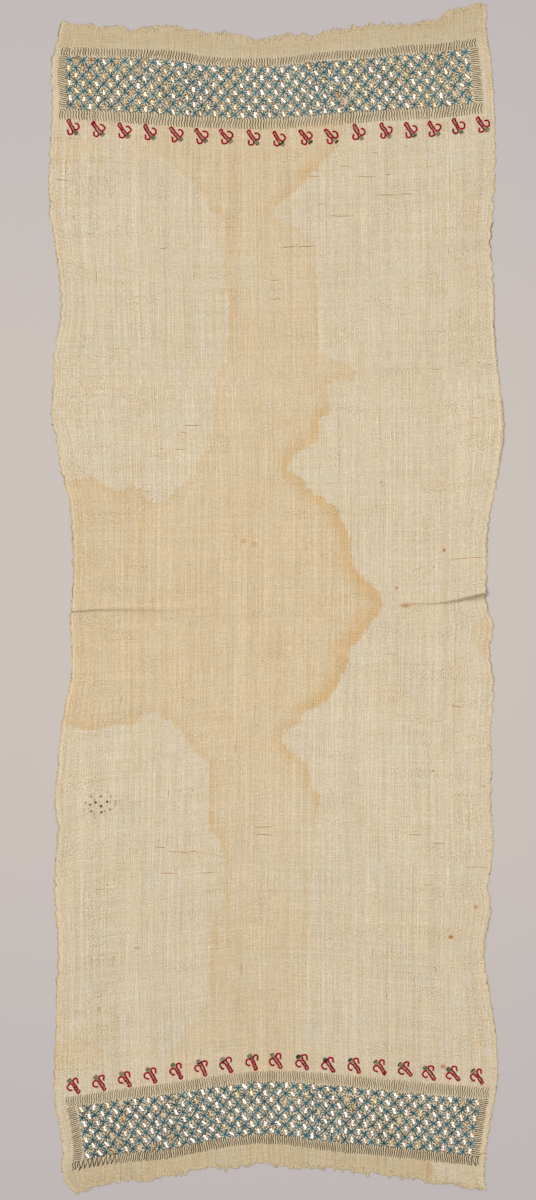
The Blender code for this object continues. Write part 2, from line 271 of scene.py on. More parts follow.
# Small rust spots.
RUST_SPOTS = table(
    SPOT_COLUMNS,
    [
        (396.7, 588, 1.8, 1.6, 0.75), (405, 605.5, 5, 1.8, 0.7), (414, 604, 4.5, 1, 0.4),
        (443, 1066.5, 2.6, 2.2, 0.8), (451, 937, 2.4, 1.8, 1), (476, 907, 2.6, 2, 0.6),
        (433, 771, 1.4, 1.2, 0.8), (444, 550, 1.5, 2, 0.9), (381, 482, 1.3, 1.2, 0.6),
        (243.5, 541, 3.2, 2.4, 0.4), (254.7, 544, 3, 2.4, 0.4), (137, 948, 3.4, 1.6, 0.5),
        (99, 1009, 1.8, 2.4, 0.5), (91, 60, 1.7, 2.2, 0.9), (484, 1153.4, 3.2, 0.9, 0.5),
        (430, 1169, 3.2, 7, 0.2), (307, 548, 1, 0.9, 0.6), (434, 567, 1, 1, 0.7),
        (68, 606, 1.1, 0.9, 0.9), (68, 611, 1.1, 0.9, 0.9),
    ],
)

# Coarse brown threads in the weave: where each starts and ends, and how dark it is.
SLUBS = table(
    "start_x end_x start_y end_y depth",
    [
        (309, 319, 176.7, 176.7, 0.4), (358, 376, 176.7, 177, 0.6), (376, 398, 195, 195, 0.75),
        (398, 414, 194, 193.5, 0.4), (329, 353, 216, 216, 0.8), (283, 295, 247.4, 246.6, 0.9),
        (299, 316, 246.8, 246, 0.9), (318, 327, 204, 204, 0.4), (340, 351, 166, 166.5, 0.5),
        (372, 378, 152.6, 153, 0.4), (385, 391, 174.5, 174.5, 0.7), (55, 70, 179, 181, 0.6),
        (160, 167, 248.5, 248.5, 0.7), (271, 280, 280.5, 280, 0.5), (272, 281, 299.5, 298.5, 0.6),
        (364, 369, 301, 301.5, 0.5), (121, 124, 282, 284.5, 0.7), (432, 440, 369, 369.5, 0.4),
        (184, 201, 425.5, 425.5, 0.6), (179, 187, 432, 432.5, 0.3), (174, 187, 449, 449.5, 0.5),
        (159, 164, 448, 448.5, 0.4), (471, 480, 417.5, 418, 0.3), (450, 488, 559.5, 556.5, 0.4),
        (384, 399, 654, 654, 0.3), (452, 462, 706.5, 707, 0.7), (480, 487, 786, 786.5, 0.8),
        (155, 166, 847, 847.5, 0.7), (168, 190, 851.5, 852.5, 0.6), (190, 202, 851.5, 852, 0.4),
        (160, 178, 873, 873.5, 0.5), (201, 215, 873, 872.5, 0.4), (94, 104, 889, 889, 0.4),
        (254, 272, 827.5, 826.5, 0.8), (256, 273, 834, 835, 0.8), (408, 423, 834.5, 835, 0.4),
        (432, 444, 843.5, 843.5, 0.5), (466, 489, 867, 867, 0.4), (424, 432, 885, 885, 0.4),
        (120.5, 121.8, 703, 695.5, 0.9), (235.5, 236.5, 753, 737, 0.8), (168, 168.6, 796, 790, 0.5),
        (449, 448.4, 255, 246, 0.5), (241, 241.6, 976, 962, 0.6), (113, 113.6, 966, 956, 0.4),
        (434.5, 436, 966, 973, 0.6), (386.5, 387, 993, 1001, 0.5), (96, 96.6, 283, 272, 0.4),
        (90, 91, 57.5, 62, 1), (91.4, 92.4, 58.5, 61.5, 1), (372, 373, 948, 956, 0.4),
    ],
)


def photo_to_cloth(photo_x: Array, photo_y: Array) -> tuple[Array, Array]:
    """Turns places in the photograph into X and Y.

    Args:
        photo_x: Pixels from the photograph's left edge.
        photo_y: Pixels from its top edge.

    Returns:
        X and Y in millimetres, in the CAD model's frame.
    """
    x = (photo_x - PHOTO_ORIGIN_X) * PHOTO_PIXEL
    y = (PHOTO_ORIGIN_Y - photo_y) * PHOTO_PIXEL
    return x, y


def smooth_curve(at: Array, stations: Array, values: Array) -> Array:
    """Reads a smooth curve that passes through stations.

    Args:
        at: Where the curve is read. Past the ends it is held level.
        stations: Places along the curve, in any order.
        values: The curve's value at each station.

    Returns:
        The curve's values at those places.
    """
    order = np.argsort(stations)
    stations = stations[order]
    values = values[order]
    slopes = np.gradient(values, stations)
    at = np.clip(at, stations[0], stations[-1])
    left = np.clip(np.searchsorted(stations, at) - 1, 0, len(stations) - 2)
    span = stations[left + 1] - stations[left]
    q = (at - stations[left]) / span
    rise = values[left + 1] - values[left]
    bend = (slopes[left] * span - rise) * (1 - q) + (rise - slopes[left + 1] * span) * q
    return values[left] + q * rise + q * (1 - q) * bend


def wobble(at: Array, pitch: float, seed: int) -> Array:
    """A smooth random wave between -1 and 1.

    Args:
        at: Where the wave is read, in millimetres.
        pitch: Length of one of its steps.
        seed: Picks the wave.

    Returns:
        The wave's values.
    """
    knots = np.random.default_rng(seed).uniform(-1.0, 1.0, 2048)
    place = np.asarray(at) / pitch + 1024.0
    left = np.floor(place).astype(int) % 2047
    q = place - np.floor(place)
    q = q * q * (3.0 - 2.0 * q)
    return knots[left] * (1.0 - q) + knots[left + 1] * q


def feed(tree: Tree, node: bpy.types.Node, inputs: dict[Any, Any]) -> None:
    """Sets or links a node's inputs.

    Args:
        tree: The tree that the node is in.
        node: The node.
        inputs: For each input, by name or place: a value, an output, or a node whose first
            output is meant.
    """
    for socket, value in inputs.items():
        if isinstance(value, bpy.types.Node):
            value = value.outputs[0]
        if isinstance(value, bpy.types.NodeSocket):
            tree.links.new(value, node.inputs[socket])
        else:
            node.inputs[socket].default_value = value


def add_node(
    tree: Tree,
    kind: str,
    settings: dict[str, Any] | None = None,
    inputs: dict[Any, Any] | None = None,
) -> bpy.types.Node:
    """Adds a node with its settings and links.

    Args:
        tree: The tree that it goes into.
        kind: The node's type.
        settings: Values of its own properties.
        inputs: What goes into its inputs, as in feed.

    Returns:
        The new node.
    """
    node = tree.nodes.new(kind)
    for name, value in (settings or {}).items():
        setattr(node, name, value)
    feed(tree, node, inputs or {})
    return node


def linear(code: str) -> tuple[float, float, float, float]:
    """Turns an sRGB hex colour into the linear one that shaders take.

    Args:
        code: The colour, such as "#D8C8A5".

    Returns:
        Red, green, blue and 1.
    """
    channels = [int(code[start : start + 2], 16) / 255.0 for start in (1, 3, 5)]
    values = [c / 12.92 if c <= 0.04045 else ((c + 0.055) / 1.055) ** 2.4 for c in channels]
    return (values[0], values[1], values[2], 1.0)


def mesh_object(name: str, points: Array, faces: list, edges: list | None = None) -> Piece:
    """Links a new mesh object at the origin.

    Args:
        name: The piece's name.
        points: Its points in millimetres, one row each.
        faces: Its faces.
        edges: Its edges, where it has no faces.

    Returns:
        The new object.
    """
    mesh = bpy.data.meshes.new(name)
    mesh.from_pydata((np.asarray(points) * MM).tolist(), edges or [], faces)
    made = bpy.data.objects.new(name, mesh)
    bpy.context.collection.objects.link(made)
    return made


def shell_faces(rows: int, columns: int, falling: bool) -> list[tuple[int, ...]]:
    """The faces of a closed shell: a grid of points, the same grid below it, and a rim.

    Args:
        rows: Rows of points in each grid.
        columns: Points in each row.
        falling: True where each row lies nearer the bottom end than the row before it.

    Returns:
        The faces. Points are counted row by row, all of the upper grid first.
    """
    below = rows * columns
    faces = []
    for r in range(rows - 1):
        for c in range(columns - 1):
            i = r * columns + c
            corners = (i + columns, i + columns + 1, i + 1)
            ring = (i, *(corners if falling else corners[::-1]))
            faces.append(ring)
            faces.append(tuple(below + k for k in reversed(ring)))
    rim = list(range(columns))
    rim += [r * columns + columns - 1 for r in range(1, rows)]
    rim += [(rows - 1) * columns + c for c in range(columns - 2, -1, -1)]
    rim += [r * columns for r in range(rows - 2, 0, -1)]
    for start, end in zip(rim, rim[1:] + rim[:1]):
        if not falling:
            start, end = end, start
        faces.append((start, end, below + end, below + start))
    return faces


def point_values(made: Piece, name: str, values: Array) -> None:
    """Stores one number for each point of a mesh, under a name that its material reads."""
    layer = made.data.attributes.new(name, "FLOAT", "POINT")
    layer.data.foreach_set("value", np.asarray(values, dtype=np.float32))


def set_up_tree(name: str, sockets: dict[str, str]) -> tuple[Tree, Any, Any]:
    """Starts a Geometry Nodes tree.

    Args:
        name: The tree's name.
        sockets: The type of each input after the geometry, by name.

    Returns:
        The tree, its input node and its output node.
    """
    tree = bpy.data.node_groups.new(name, "GeometryNodeTree")
    tree.interface.new_socket("Geometry", in_out="INPUT", socket_type="NodeSocketGeometry")
    for socket, kind in sockets.items():
        tree.interface.new_socket(socket, in_out="INPUT", socket_type=kind)
    tree.interface.new_socket("Geometry", in_out="OUTPUT", socket_type="NodeSocketGeometry")
    return tree, tree.nodes.new("NodeGroupInput"), tree.nodes.new("NodeGroupOutput")


def end_tree(tree: Tree, shape: Any, source: Any, result: Any) -> None:
    """Ends a Geometry Nodes tree: makes its instances real and gives them their finish.

    Args:
        tree: The tree.
        shape: The node that gives the finished shape.
        source: The tree's input node, which has an input for the finish.
        result: The tree's output node.
    """
    real = add_node(tree, "GeometryNodeRealizeInstances", inputs={0: shape})
    finish = source.outputs["Finish"]
    dressed = add_node(tree, "GeometryNodeSetMaterial", inputs={"Geometry": real, "Material": finish})
    feed(tree, result, {0: dressed})


def grow(carrier: Piece, tree: Tree, values: dict[str, Any]) -> None:
    """Runs a Geometry Nodes tree on an object and keeps the result as its plain mesh.

    Args:
        carrier: The object whose mesh the tree starts from.
        tree: The tree.
        values: The tree's inputs, by name.
    """
    modifier = carrier.modifiers.new(tree.name, "NODES")
    modifier.node_group = tree
    for item in tree.interface.items_tree:
        if item.in_out == "INPUT" and item.name in values:
            modifier[item.identifier] = values[item.name]
    depsgraph = bpy.context.evaluated_depsgraph_get()
    grown = bpy.data.meshes.new_from_object(
        carrier.evaluated_get(depsgraph), preserve_all_data_layers=True, depsgraph=depsgraph
    )
    carrier.modifiers.remove(modifier)
    carrier.data = grown


class Colour(Enum):
    """The scarf's colours, as sRGB."""

    GAUZE = "#D9C7AA"
    GAUZE_DULL = "#CDBB9B"
    STAINED = "#D8C19D"
    TIDE = "#D4B384"
    RUST = "#B87636"
    SELVEDGE = "#E3CFA7"
    FRAY_DARK = "#967C4C"
    SLUB = "#8A6440"
    BLUE_DEEP = "#0A5160"
    BLUE = "#1A7081"
    BLUE_PALE = "#5C949D"
    TAN = "#C88638"
    TAN_PALE = "#EFCC8E"
    UMBER = "#3E2E1C"
    SILVER = "#FBF9F3"
    SILVER_WARM = "#E0D0A4"
    TARNISH = "#765A3A"
    LADDER_DARK = "#66492C"
    LADDER_PALE = "#EBDDBB"
    RAY_DARK = "#282A1C"
    HEAD = "#928C6A"
    HEAD_PALE = "#B0A98A"
    CRIMSON = "#A8002C"
    CRIMSON_DEEP = "#6C001A"
    # Painted shade for the crease's lower side, which faces away from the light.
    PAINTED_FOLD_SHADE = "#8C744A"
    MARK = "#5C300E"
    MARGIN = "#CAB48E"
    PAPER = "#CAC1BC"
    # The paper painted darker and bluer towards the ends: painted light falloff.
    PAPER_PAINTED_FALLOFF = "#C6BFBF"

    def rgba(self) -> tuple[float, float, float, float]:
        """The linear colour."""
        return linear(self.value)


class End(Enum):
    """The two ends of the cloth, with the turn that the sprigs take there."""

    TOP = ("top", 1)
    BOTTOM = ("bottom", -1)

    def __init__(self, label: str, turn: int) -> None:
        """Names the two parts of an end's value."""
        self.label = label
        self.turn = turn


@dataclass(frozen=True)
class Finish:
    """A finish, and the record's slot that it belongs to."""

    name: str
    slot: str

    def start(self) -> tuple[Material, Tree, bpy.types.Node]:
        """Makes the bare material.

        Returns:
            The material, its node tree and its Principled shader.
        """
        material = bpy.data.materials.new(self.name)
        material.use_nodes = True
        tree = material.node_tree
        return material, tree, tree.nodes["Principled BSDF"]


class Streak(NamedTuple):
    """One size of streak in the gauze, in millimetres, and how strongly it shows."""

    across: float
    along: float
    share: float


@dataclass(frozen=True)
class ClothPattern:
    """Streaks and spots in the tree of the cloth's material, and their sums.

    The streaks follow the cloth's own coordinates. The spots lie at places in the scarf's frame.
    """

    tree: Tree
    uv: Any
    place: Any

    def streak(self, size: Streak) -> Any:
        """A field of random streaks of one size.

        Args:
            size: The streaks' size, and how far they move the sum, both ways.

        Returns:
            The node that gives the streaks.
        """
        scaled = add_node(
            self.tree, "ShaderNodeMapping",
            inputs={
                "Vector": self.uv, "Location": (size.across * 7.3, size.along * 3.1, 0.0),
                "Scale": (UV_SPAN / size.across, UV_SPAN / size.along, 1.0),
            },
        )
        noise = add_node(
            self.tree, "ShaderNodeTexNoise", {"noise_dimensions": "2D"},
            {"Vector": scaled, "Scale": 1.0, "Detail": 1.0, "Roughness": 0.5},
        )
        return add_node(
            self.tree, "ShaderNodeMapRange", UNCLAMPED,
            {0: noise, 1: 0.3, 2: 0.7, 3: -size.share, 4: size.share},
        )

    def peaks(self, size: Streak, floor: float) -> Any:
        """Only the strongest streaks of one size, with nothing between them.

        Args:
            size: The streaks' size, and how far the strongest move the sum.
            floor: How strong a streak has to be to show, up to about 0.5.

        Returns:
            The node that gives them.
        """
        whole = self.streak(Streak(size.across, size.along, 0.5))
        return add_node(
            self.tree, "ShaderNodeMapRange", SMOOTH,
            {0: whole, 1: floor, 2: floor + 0.25, 3: 0.0, 4: size.share},
        )

    def combine(self, operation: str, parts: list) -> Any:
        """Joins nodes into one with the same piece of maths between each.

        Args:
            operation: ADD, MULTIPLY or another of the maths node's operations.
            parts: The nodes or outputs.

        Returns:
            The node that gives the result.
        """
        result = parts[0]
        for part in parts[1:]:
            result = add_node(self.tree, "ShaderNodeMath", {"operation": operation}, {0: result, 1: part})
        return result

    def spot(self, row: np.void) -> Any:
        """One small spot with a soft edge.

        Args:
            row: The spot's place, size and depth.

        Returns:
            The node that shows it, from 0 to its depth.
        """
        x, y = photo_to_cloth(row["photo_x"], row["photo_y"])
        reach = (row["half_width"] * PHOTO_PIXEL * MM, row["half_height"] * PHOTO_PIXEL * MM)
        offset = add_node(
            self.tree, "ShaderNodeMapping", {"vector_type": "TEXTURE"},
            {"Vector": self.place, "Location": (x * MM, y * MM, 0.0), "Scale": (*reach, 1.0)},
        )
        distance = add_node(self.tree, "ShaderNodeVectorMath", {"operation": "LENGTH"}, {0: offset})
        return add_node(
            self.tree, "ShaderNodeMapRange", SMOOTH,
            {0: distance.outputs["Value"], 1: 1.6, 2: 0.3, 3: 0.0, 4: float(row["depth"])},
        )


@dataclass(frozen=True)
class SilkGauze(Finish):
    """Hand-reeled silk gauze in open tabby, unbleached and never calendered.

    Uneven slubby threads give it long streaks along the warp and fainter ones along the weft.
    The gaps between them are a warmer brown, and the thick threads are pale. Water has dried in
    it, and left tan areas with darker tide lines.
    """

    # Real threads are finer than the photograph's pixels. The finest streaks are drawn about
    # 1.1 mm wide, so that they show.
    warp: tuple[Streak, ...] = (
        Streak(1.1, 12.0, 0.03), Streak(1.1, 38.0, 0.045), Streak(1.1, 130.0, 0.056),
        Streak(1.3, 420.0, 0.05), Streak(8.0, 300.0, 0.016),
    )
    weft: tuple[Streak, ...] = (
        Streak(12.0, 1.0, 0.042), Streak(110.0, 1.2, 0.035), Streak(260.0, 8.0, 0.014),
        Streak(60.0, 60.0, 0.012),
    )
    grain: Streak = Streak(1.3, 1.8, 0.095)
    warmth: tuple[Streak, ...] = (
        Streak(2.2, 60.0, 0.03), Streak(50.0, 2.5, 0.02), Streak(14.0, 20.0, 0.025),
        Streak(45.0, 60.0, 0.02),
    )
    streak_tone: tuple[float, float, float] = (0.8, 1.0, 1.4)
    warm_tone: tuple[float, float, float] = (0.4, -0.1, -0.9)
    loose_patches: Streak = Streak(45.0, 22.0, 0.4)
    loose_reach: tuple[float, float] = (10.0, 130.0)
    knots: Streak = Streak(1.1, 1.7, 0.13)
    gaps: Streak = Streak(1.3, 2.0, -0.27)
    thick_threads: Streak = Streak(1.1, 330.0, 0.1)
    thick_stretches: Streak = Streak(1.1, 11.0, 0.12)
    stain_fringes: tuple[Streak, ...] = (Streak(5.0, 7.0, 1.5), Streak(1.5, 7.0, 1.3))
    stain_blotches: Streak = Streak(3.5, 24.0, 0.5)
    dot_pitch: float = 5.2
    margin_reach: tuple[float, float] = (40.0, 14.0)
    selvedge_reach: tuple[float, float] = (4.6, 3.0)
    bump_strength: float = 0.5
    bump_depth: float = 0.004
    roughness: float = 0.85
    specular: float = 0.25
    sheen: float = 0.1

    def loose_weave(self, pattern: ClothPattern, edge: Any) -> Any:
        """Fine dark gaps and pale knots, in patches that lie mostly near the selvedges.

        Args:
            pattern: What draws in the material's tree.
            edge: How far each place is from the nearer selvedge.

        Returns:
            The node that gives them.
        """
        near = add_node(
            pattern.tree, "ShaderNodeMapRange",
            inputs={0: edge, 1: self.loose_reach[0], 2: self.loose_reach[1], 3: 0.2, 4: -0.16},
        )
        patch = pattern.combine("ADD", [pattern.streak(self.loose_patches), near])
        opened = add_node(
            pattern.tree, "ShaderNodeMapRange", SMOOTH, {0: patch, 1: 0.0, 2: 0.4, 3: 0.12, 4: 1.0}
        )
        knots = pattern.streak(self.knots)
        gaps = pattern.peaks(self.gaps, 0.22)
        return pattern.combine("MULTIPLY", [pattern.combine("ADD", [knots, gaps]), opened])

    def mark(self, pattern: ClothPattern) -> Any:
        """A worn patch of plain round brown dots, some of them gone.

        Args:
            pattern: What draws in the material's tree.

        Returns:
            The node that shows the dots.
        """
        dots = add_node(
            pattern.tree, "ShaderNodeTexVoronoi", {"voronoi_dimensions": "2D"},
            {"Vector": pattern.uv, "Scale": UV_SPAN / self.dot_pitch, "Randomness": 0.8},
        )
        round_dot = add_node(pattern.tree, "ShaderNodeMapRange", inputs={0: dots, 1: 0.34, 2: 0.2})
        chosen = add_node(pattern.tree, "ShaderNodeSeparateColor", inputs={0: dots.outputs["Color"]})
        kept = add_node(pattern.tree, "ShaderNodeMapRange", inputs={0: chosen, 1: 0.25, 2: 0.6})
        parts = [pattern.spot(WORN_MARK), round_dot, kept]
        return pattern.combine("MULTIPLY", parts)

    def build(self) -> Material:
        """Makes the material.

        Returns:
            The material, which reads the cloth's UV map and its stain numbers.
        """
        material, tree, shader = self.start()
        uv = add_node(tree, "ShaderNodeUVMap", {"uv_map": "cloth"})
        pattern = ClothPattern(tree, uv, add_node(tree, "ShaderNodeTexCoord").outputs["Object"])
        stain = {}
        for name in (
            "stain_depth", "stain_tone", "stain_tide", "stain_reach", "stain_patch", "edge_distance",
            "end_distance", "painted_crease_shade",
        ):
            read = add_node(tree, "ShaderNodeAttribute", {"attribute_name": name})
            stain[name] = read.outputs["Fac"]
        weave = [pattern.streak(size) for size in (*self.warp, *self.weft, self.grain)]
        relief = pattern.combine("ADD", [weave[0], weave[len(self.warp)], weave[-1]])
        weave.append(self.loose_weave(pattern, stain["edge_distance"]))
        weave.append(pattern.peaks(self.thick_threads, 0.2))
        weave.append(pattern.peaks(self.thick_stretches, 0.3))
        streaks = pattern.combine("ADD", weave)
        warmth = pattern.combine("ADD", [pattern.streak(size) for size in self.warmth])
        ragged = [pattern.streak(size) for size in self.stain_fringes]
        fringe = pattern.combine("ADD", [stain["stain_depth"], *ragged])
        body = add_node(tree, "ShaderNodeMapRange", SMOOTH, {0: fringe, 1: -0.8, 2: 1.2})
        soaked = pattern.combine("MULTIPLY", [body, stain["stain_tone"]])
        uneven = [pattern.streak(self.stain_blotches), stain["stain_patch"]]
        blotch = pattern.combine("MULTIPLY", [pattern.combine("ADD", uneven), uneven[1]])
        patches = pattern.combine("MAXIMUM", [soaked, blotch])
        reach = add_node(
            tree, "ShaderNodeMapRange", {"interpolation_type": "SMOOTHERSTEP"},
            {0: fringe, 1: stain["stain_reach"], 2: 0.0},
        )
        tide = pattern.combine("MULTIPLY", [reach, body, stain["stain_tide"]])
        margin = add_node(
            tree, "ShaderNodeMapRange", SMOOTH,
            {0: stain["end_distance"], 1: self.margin_reach[0], 2: self.margin_reach[1], 3: 0.0, 4: 0.7},
        )
        selvedge = add_node(
            tree, "ShaderNodeMapRange", SMOOTH,
            {
                0: stain["edge_distance"], 1: self.selvedge_reach[0], 2: self.selvedge_reach[1],
                3: 0.0, 4: 0.4,
            },
        )
        layers = (
            (patches, Colour.STAINED), (tide, Colour.TIDE), (margin, Colour.MARGIN),
            # The crease layer is painted shade on the fold's lower side.
            (selvedge, Colour.SELVEDGE), (stain["painted_crease_shade"], Colour.PAINTED_FOLD_SHADE),
            (pattern.combine("ADD", [pattern.spot(row) for row in RUST_SPOTS]), Colour.RUST),
            (self.mark(pattern), Colour.MARK), (pattern.spot(HOLE), Colour.PAPER),
        )
        cloth = add_node(tree, "ShaderNodeRGB")
        cloth.outputs[0].default_value = Colour.GAUZE.rgba()
        for share, colour in layers:
            cloth = add_node(
                tree, "ShaderNodeMix", MIX_COLOUR, {0: share, 6: cloth, 7: colour.rgba()}
            ).outputs[2]
        toned = add_node(
            tree, "ShaderNodeVectorMath", {"operation": "MULTIPLY_ADD"},
            {0: streaks, 1: self.streak_tone, 2: (1.0, 1.0, 1.0)},
        )
        toned = add_node(
            tree, "ShaderNodeVectorMath", {"operation": "MULTIPLY_ADD"},
            {0: warmth, 1: self.warm_tone, 2: toned},
        )
        shaded = add_node(tree, "ShaderNodeVectorMath", {"operation": "MULTIPLY"}, {0: cloth, 1: toned})
        bump = add_node(
            tree, "ShaderNodeBump",
            inputs={"Strength": self.bump_strength, "Distance": self.bump_depth, "Height": relief},
        )
        feed(tree, shader, {
            "Base Color": shaded, "Normal": bump, "IOR": SILK_IOR, "Roughness": self.roughness,
            "Specular IOR Level": self.specular, "Sheen Weight": self.sheen, "Sheen Roughness": 0.4,
        })
        return material


@dataclass(frozen=True)
class StitchedThread(Finish):
    """A stitched thread: floss silk, or silk wound with metal that has gone dull.

    Each stitch has its own tint between three colours, and a fine fibre bump gives its surface
    a soft gleam.
    """

    colours: tuple[Colour, Colour, Colour] = (Colour.BLUE_DEEP, Colour.BLUE, Colour.BLUE_PALE)
    roughness: float = 0.5
    metallic: float = 0.0
    sheen: float = 0.2
    specular: float = 0.12
    fibre: float = 0.25
    twist: float = 0.8
    strand_height: float = 0.4
    bump_strength: float = 0.4
    bump_depth: float = 0.0002

    def build(self) -> Material:
        """Makes the material.

        Returns:
            The material, which reads a tint and a run at each point.
        """
        material, tree, shader = self.start()
        tint = add_node(tree, "ShaderNodeAttribute", {"attribute_name": "tint"}).outputs["Fac"]
        ramp = add_node(tree, "ShaderNodeValToRGB", inputs={0: tint})
        ramp.color_ramp.elements[0].color = self.colours[0].rgba()
        ramp.color_ramp.elements[1].color = self.colours[2].rgba()
        middle = ramp.color_ramp.elements.new(0.5)
        middle.color = self.colours[1].rgba()
        place = add_node(tree, "ShaderNodeTexCoord").outputs["Object"]
        noise = add_node(
            tree, "ShaderNodeTexNoise",
            inputs={"Vector": place, "Scale": 1.0 / (self.fibre * MM), "Detail": 2.0},
        )
        run = add_node(tree, "ShaderNodeAttribute", {"attribute_name": "run"}).outputs["Fac"]
        turn = 2.0 * math.pi / (self.twist * MM)
        phase = add_node(
            tree, "ShaderNodeMath", {"operation": "MULTIPLY_ADD"}, {0: run, 1: turn, 2: noise}
        )
        strands = add_node(tree, "ShaderNodeMath", {"operation": "SINE"}, {0: phase})
        height = add_node(
            tree, "ShaderNodeMath", {"operation": "MULTIPLY_ADD"},
            {0: strands, 1: self.strand_height, 2: noise},
        )
        bump = add_node(
            tree, "ShaderNodeBump",
            inputs={"Strength": self.bump_strength, "Distance": self.bump_depth, "Height": height},
        )
        feed(tree, shader, {
            "Base Color": ramp, "Normal": bump, "Roughness": self.roughness, "Metallic": self.metallic,
            "Specular IOR Level": self.specular, "Sheen Weight": self.sheen,
        })
        if self.metallic == 0.0:
            feed(tree, shader, {"IOR": SILK_IOR})
        return material


# Loose blue silk, hardly twisted: teal, and darkest where the stitches of a star crowd.
BLUE_FLOSS = StitchedThread("blue floss silk", "blue_silk", sheen=0.05)

# Short tan stitches, from orange to cream, with near-black ones between that set them apart.
TAN_FLOSS = StitchedThread(
    "tan floss silk", "tan_silk", (Colour.RAY_DARK, Colour.TAN, Colour.TAN_PALE), sheen=0.05
)

# Deep crimson floss, the scarf's strongest colour, in lines that vary between two depths.
CRIMSON_FLOSS = StitchedThread(
    "crimson floss silk", "crimson_silk", (Colour.CRIMSON_DEEP, Colour.CRIMSON, Colour.CRIMSON),
    sheen=0.0, specular=0.0,
)

# Silk wound with metal that has tarnished to a dull brown.
WOUND_THREAD = StitchedThread(
    "tarnished wound thread", "ladder_thread", (Colour.UMBER, Colour.LADDER_DARK, Colour.TARNISH),
    roughness=0.5, metallic=0.3,
)

# Gauze drawn together between the rungs into matt cream ridges.
DRAWN_GAUZE = StitchedThread(
    "drawn gauze ridge", "ecru_gauze", (Colour.GAUZE_DULL, Colour.LADDER_PALE, Colour.SELVEDGE),
    roughness=0.8,
)

# Metal-wound heads gone grey green, with brown and nearly black stitches among them.
TARNISHED_HEAD = StitchedThread(
    "tarnished metal head", "ladder_thread", (Colour.RAY_DARK, Colour.HEAD, Colour.HEAD_PALE),
    roughness=0.45, metallic=0.3,
)

# Loose fibres of raw silk: dull, pale and fuzzy, brown where they are dirty.
LOOSE_FIBRE = StitchedThread(
    "loose silk fibre", "ecru_gauze", (Colour.FRAY_DARK, Colour.GAUZE_DULL, Colour.SELVEDGE),
    roughness=0.8,
)

# Coarse rusty thread in the weave, hardly darker than the cloth where it is thin.
SLUB_THREAD = StitchedThread(
    "brown slub thread", "ecru_gauze", (Colour.SLUB, Colour.RUST, Colour.TAN), roughness=0.8
)


@dataclass(frozen=True)
class SilverStrip(Finish):
    """Flat silvered strip, hammered, pulled through the cloth by hand and pressed down.

    Bright where it is clean, so that it glints white, and yellowed or grey where it has
    tarnished.
    """

    grain: float = 1.1
    wear: float = 0.16
    bump_strength: float = 0.35
    bump_depth: float = 0.0003
    roughness: float = 0.28

    def build(self) -> Material:
        """Makes the material.

        Returns:
            The material, which reads a tint at each point.
        """
        material, tree, shader = self.start()
        tint = add_node(tree, "ShaderNodeAttribute", {"attribute_name": "tint"}).outputs["Fac"]
        place = add_node(tree, "ShaderNodeTexCoord").outputs["Object"]
        noise = add_node(
            tree, "ShaderNodeTexNoise",
            inputs={"Vector": place, "Scale": 1.0 / (self.grain * MM), "Detail": 3.0},
        )
        worn = add_node(
            tree, "ShaderNodeMapRange", UNCLAMPED, {0: noise, 1: 0.3, 2: 0.7, 3: -self.wear, 4: self.wear}
        )
        mixed = add_node(tree, "ShaderNodeMath", {"operation": "ADD"}, {0: tint, 1: worn})
        ramp = add_node(tree, "ShaderNodeValToRGB", inputs={0: mixed})
        stops = ramp.color_ramp.elements
        stops[0].color = Colour.TARNISH.rgba()
        stops[1].color = Colour.SILVER.rgba()
        stops[1].position = 0.5
        warm = stops.new(0.28)
        warm.color = Colour.SILVER_WARM.rgba()
        bump = add_node(
            tree, "ShaderNodeBump",
            inputs={"Strength": self.bump_strength, "Distance": self.bump_depth, "Height": noise},
        )
        look = {"Base Color": ramp, "Normal": bump, "Metallic": 1.0, "Roughness": self.roughness}
        feed(tree, shader, look)
        return material


@dataclass(frozen=True)
class Paper(Finish):
    """Smooth matt backing paper, pale mauve grey, with hardly any tooth.

    Real tooth is finer. It is drawn 2.5 mm wide, so that it shows.
    """

    tooth: float = 2.5
    bump_strength: float = 0.05
    bump_depth: float = 0.0005
    roughness: float = 0.95
    specular: float = 0.1
    painted_falloff_reach: tuple[float, float] = (0.2, 0.6)

    def build(self) -> Material:
        """Makes the material.

        Returns:
            The material.
        """
        material, tree, shader = self.start()
        place = add_node(tree, "ShaderNodeTexCoord").outputs["Object"]
        noise = add_node(
            tree, "ShaderNodeTexNoise",
            inputs={"Vector": place, "Scale": 1.0 / (self.tooth * MM), "Detail": 2.0},
        )
        bump = add_node(
            tree, "ShaderNodeBump",
            inputs={"Strength": self.bump_strength, "Distance": self.bump_depth, "Height": noise},
        )
        # Painted light falloff: the paper's colour turns darker and bluer away from the middle, along Y.
        axes = add_node(tree, "ShaderNodeSeparateXYZ", inputs={0: place})
        gone = add_node(tree, "ShaderNodeMath", {"operation": "ABSOLUTE"}, {0: axes.outputs[1]})
        far = add_node(
            tree, "ShaderNodeMapRange", SMOOTH, {0: gone, 1: self.painted_falloff_reach[0], 2: self.painted_falloff_reach[1]}
        )
        tone = add_node(
            tree, "ShaderNodeMix", MIX_COLOUR,
            {0: far, 6: Colour.PAPER.rgba(), 7: Colour.PAPER_PAINTED_FALLOFF.rgba()},
        )
        feed(tree, shader, {
            "Base Color": tone.outputs[2], "Normal": bump, "Roughness": self.roughness,
            "Specular IOR Level": self.specular,
        })
        return material


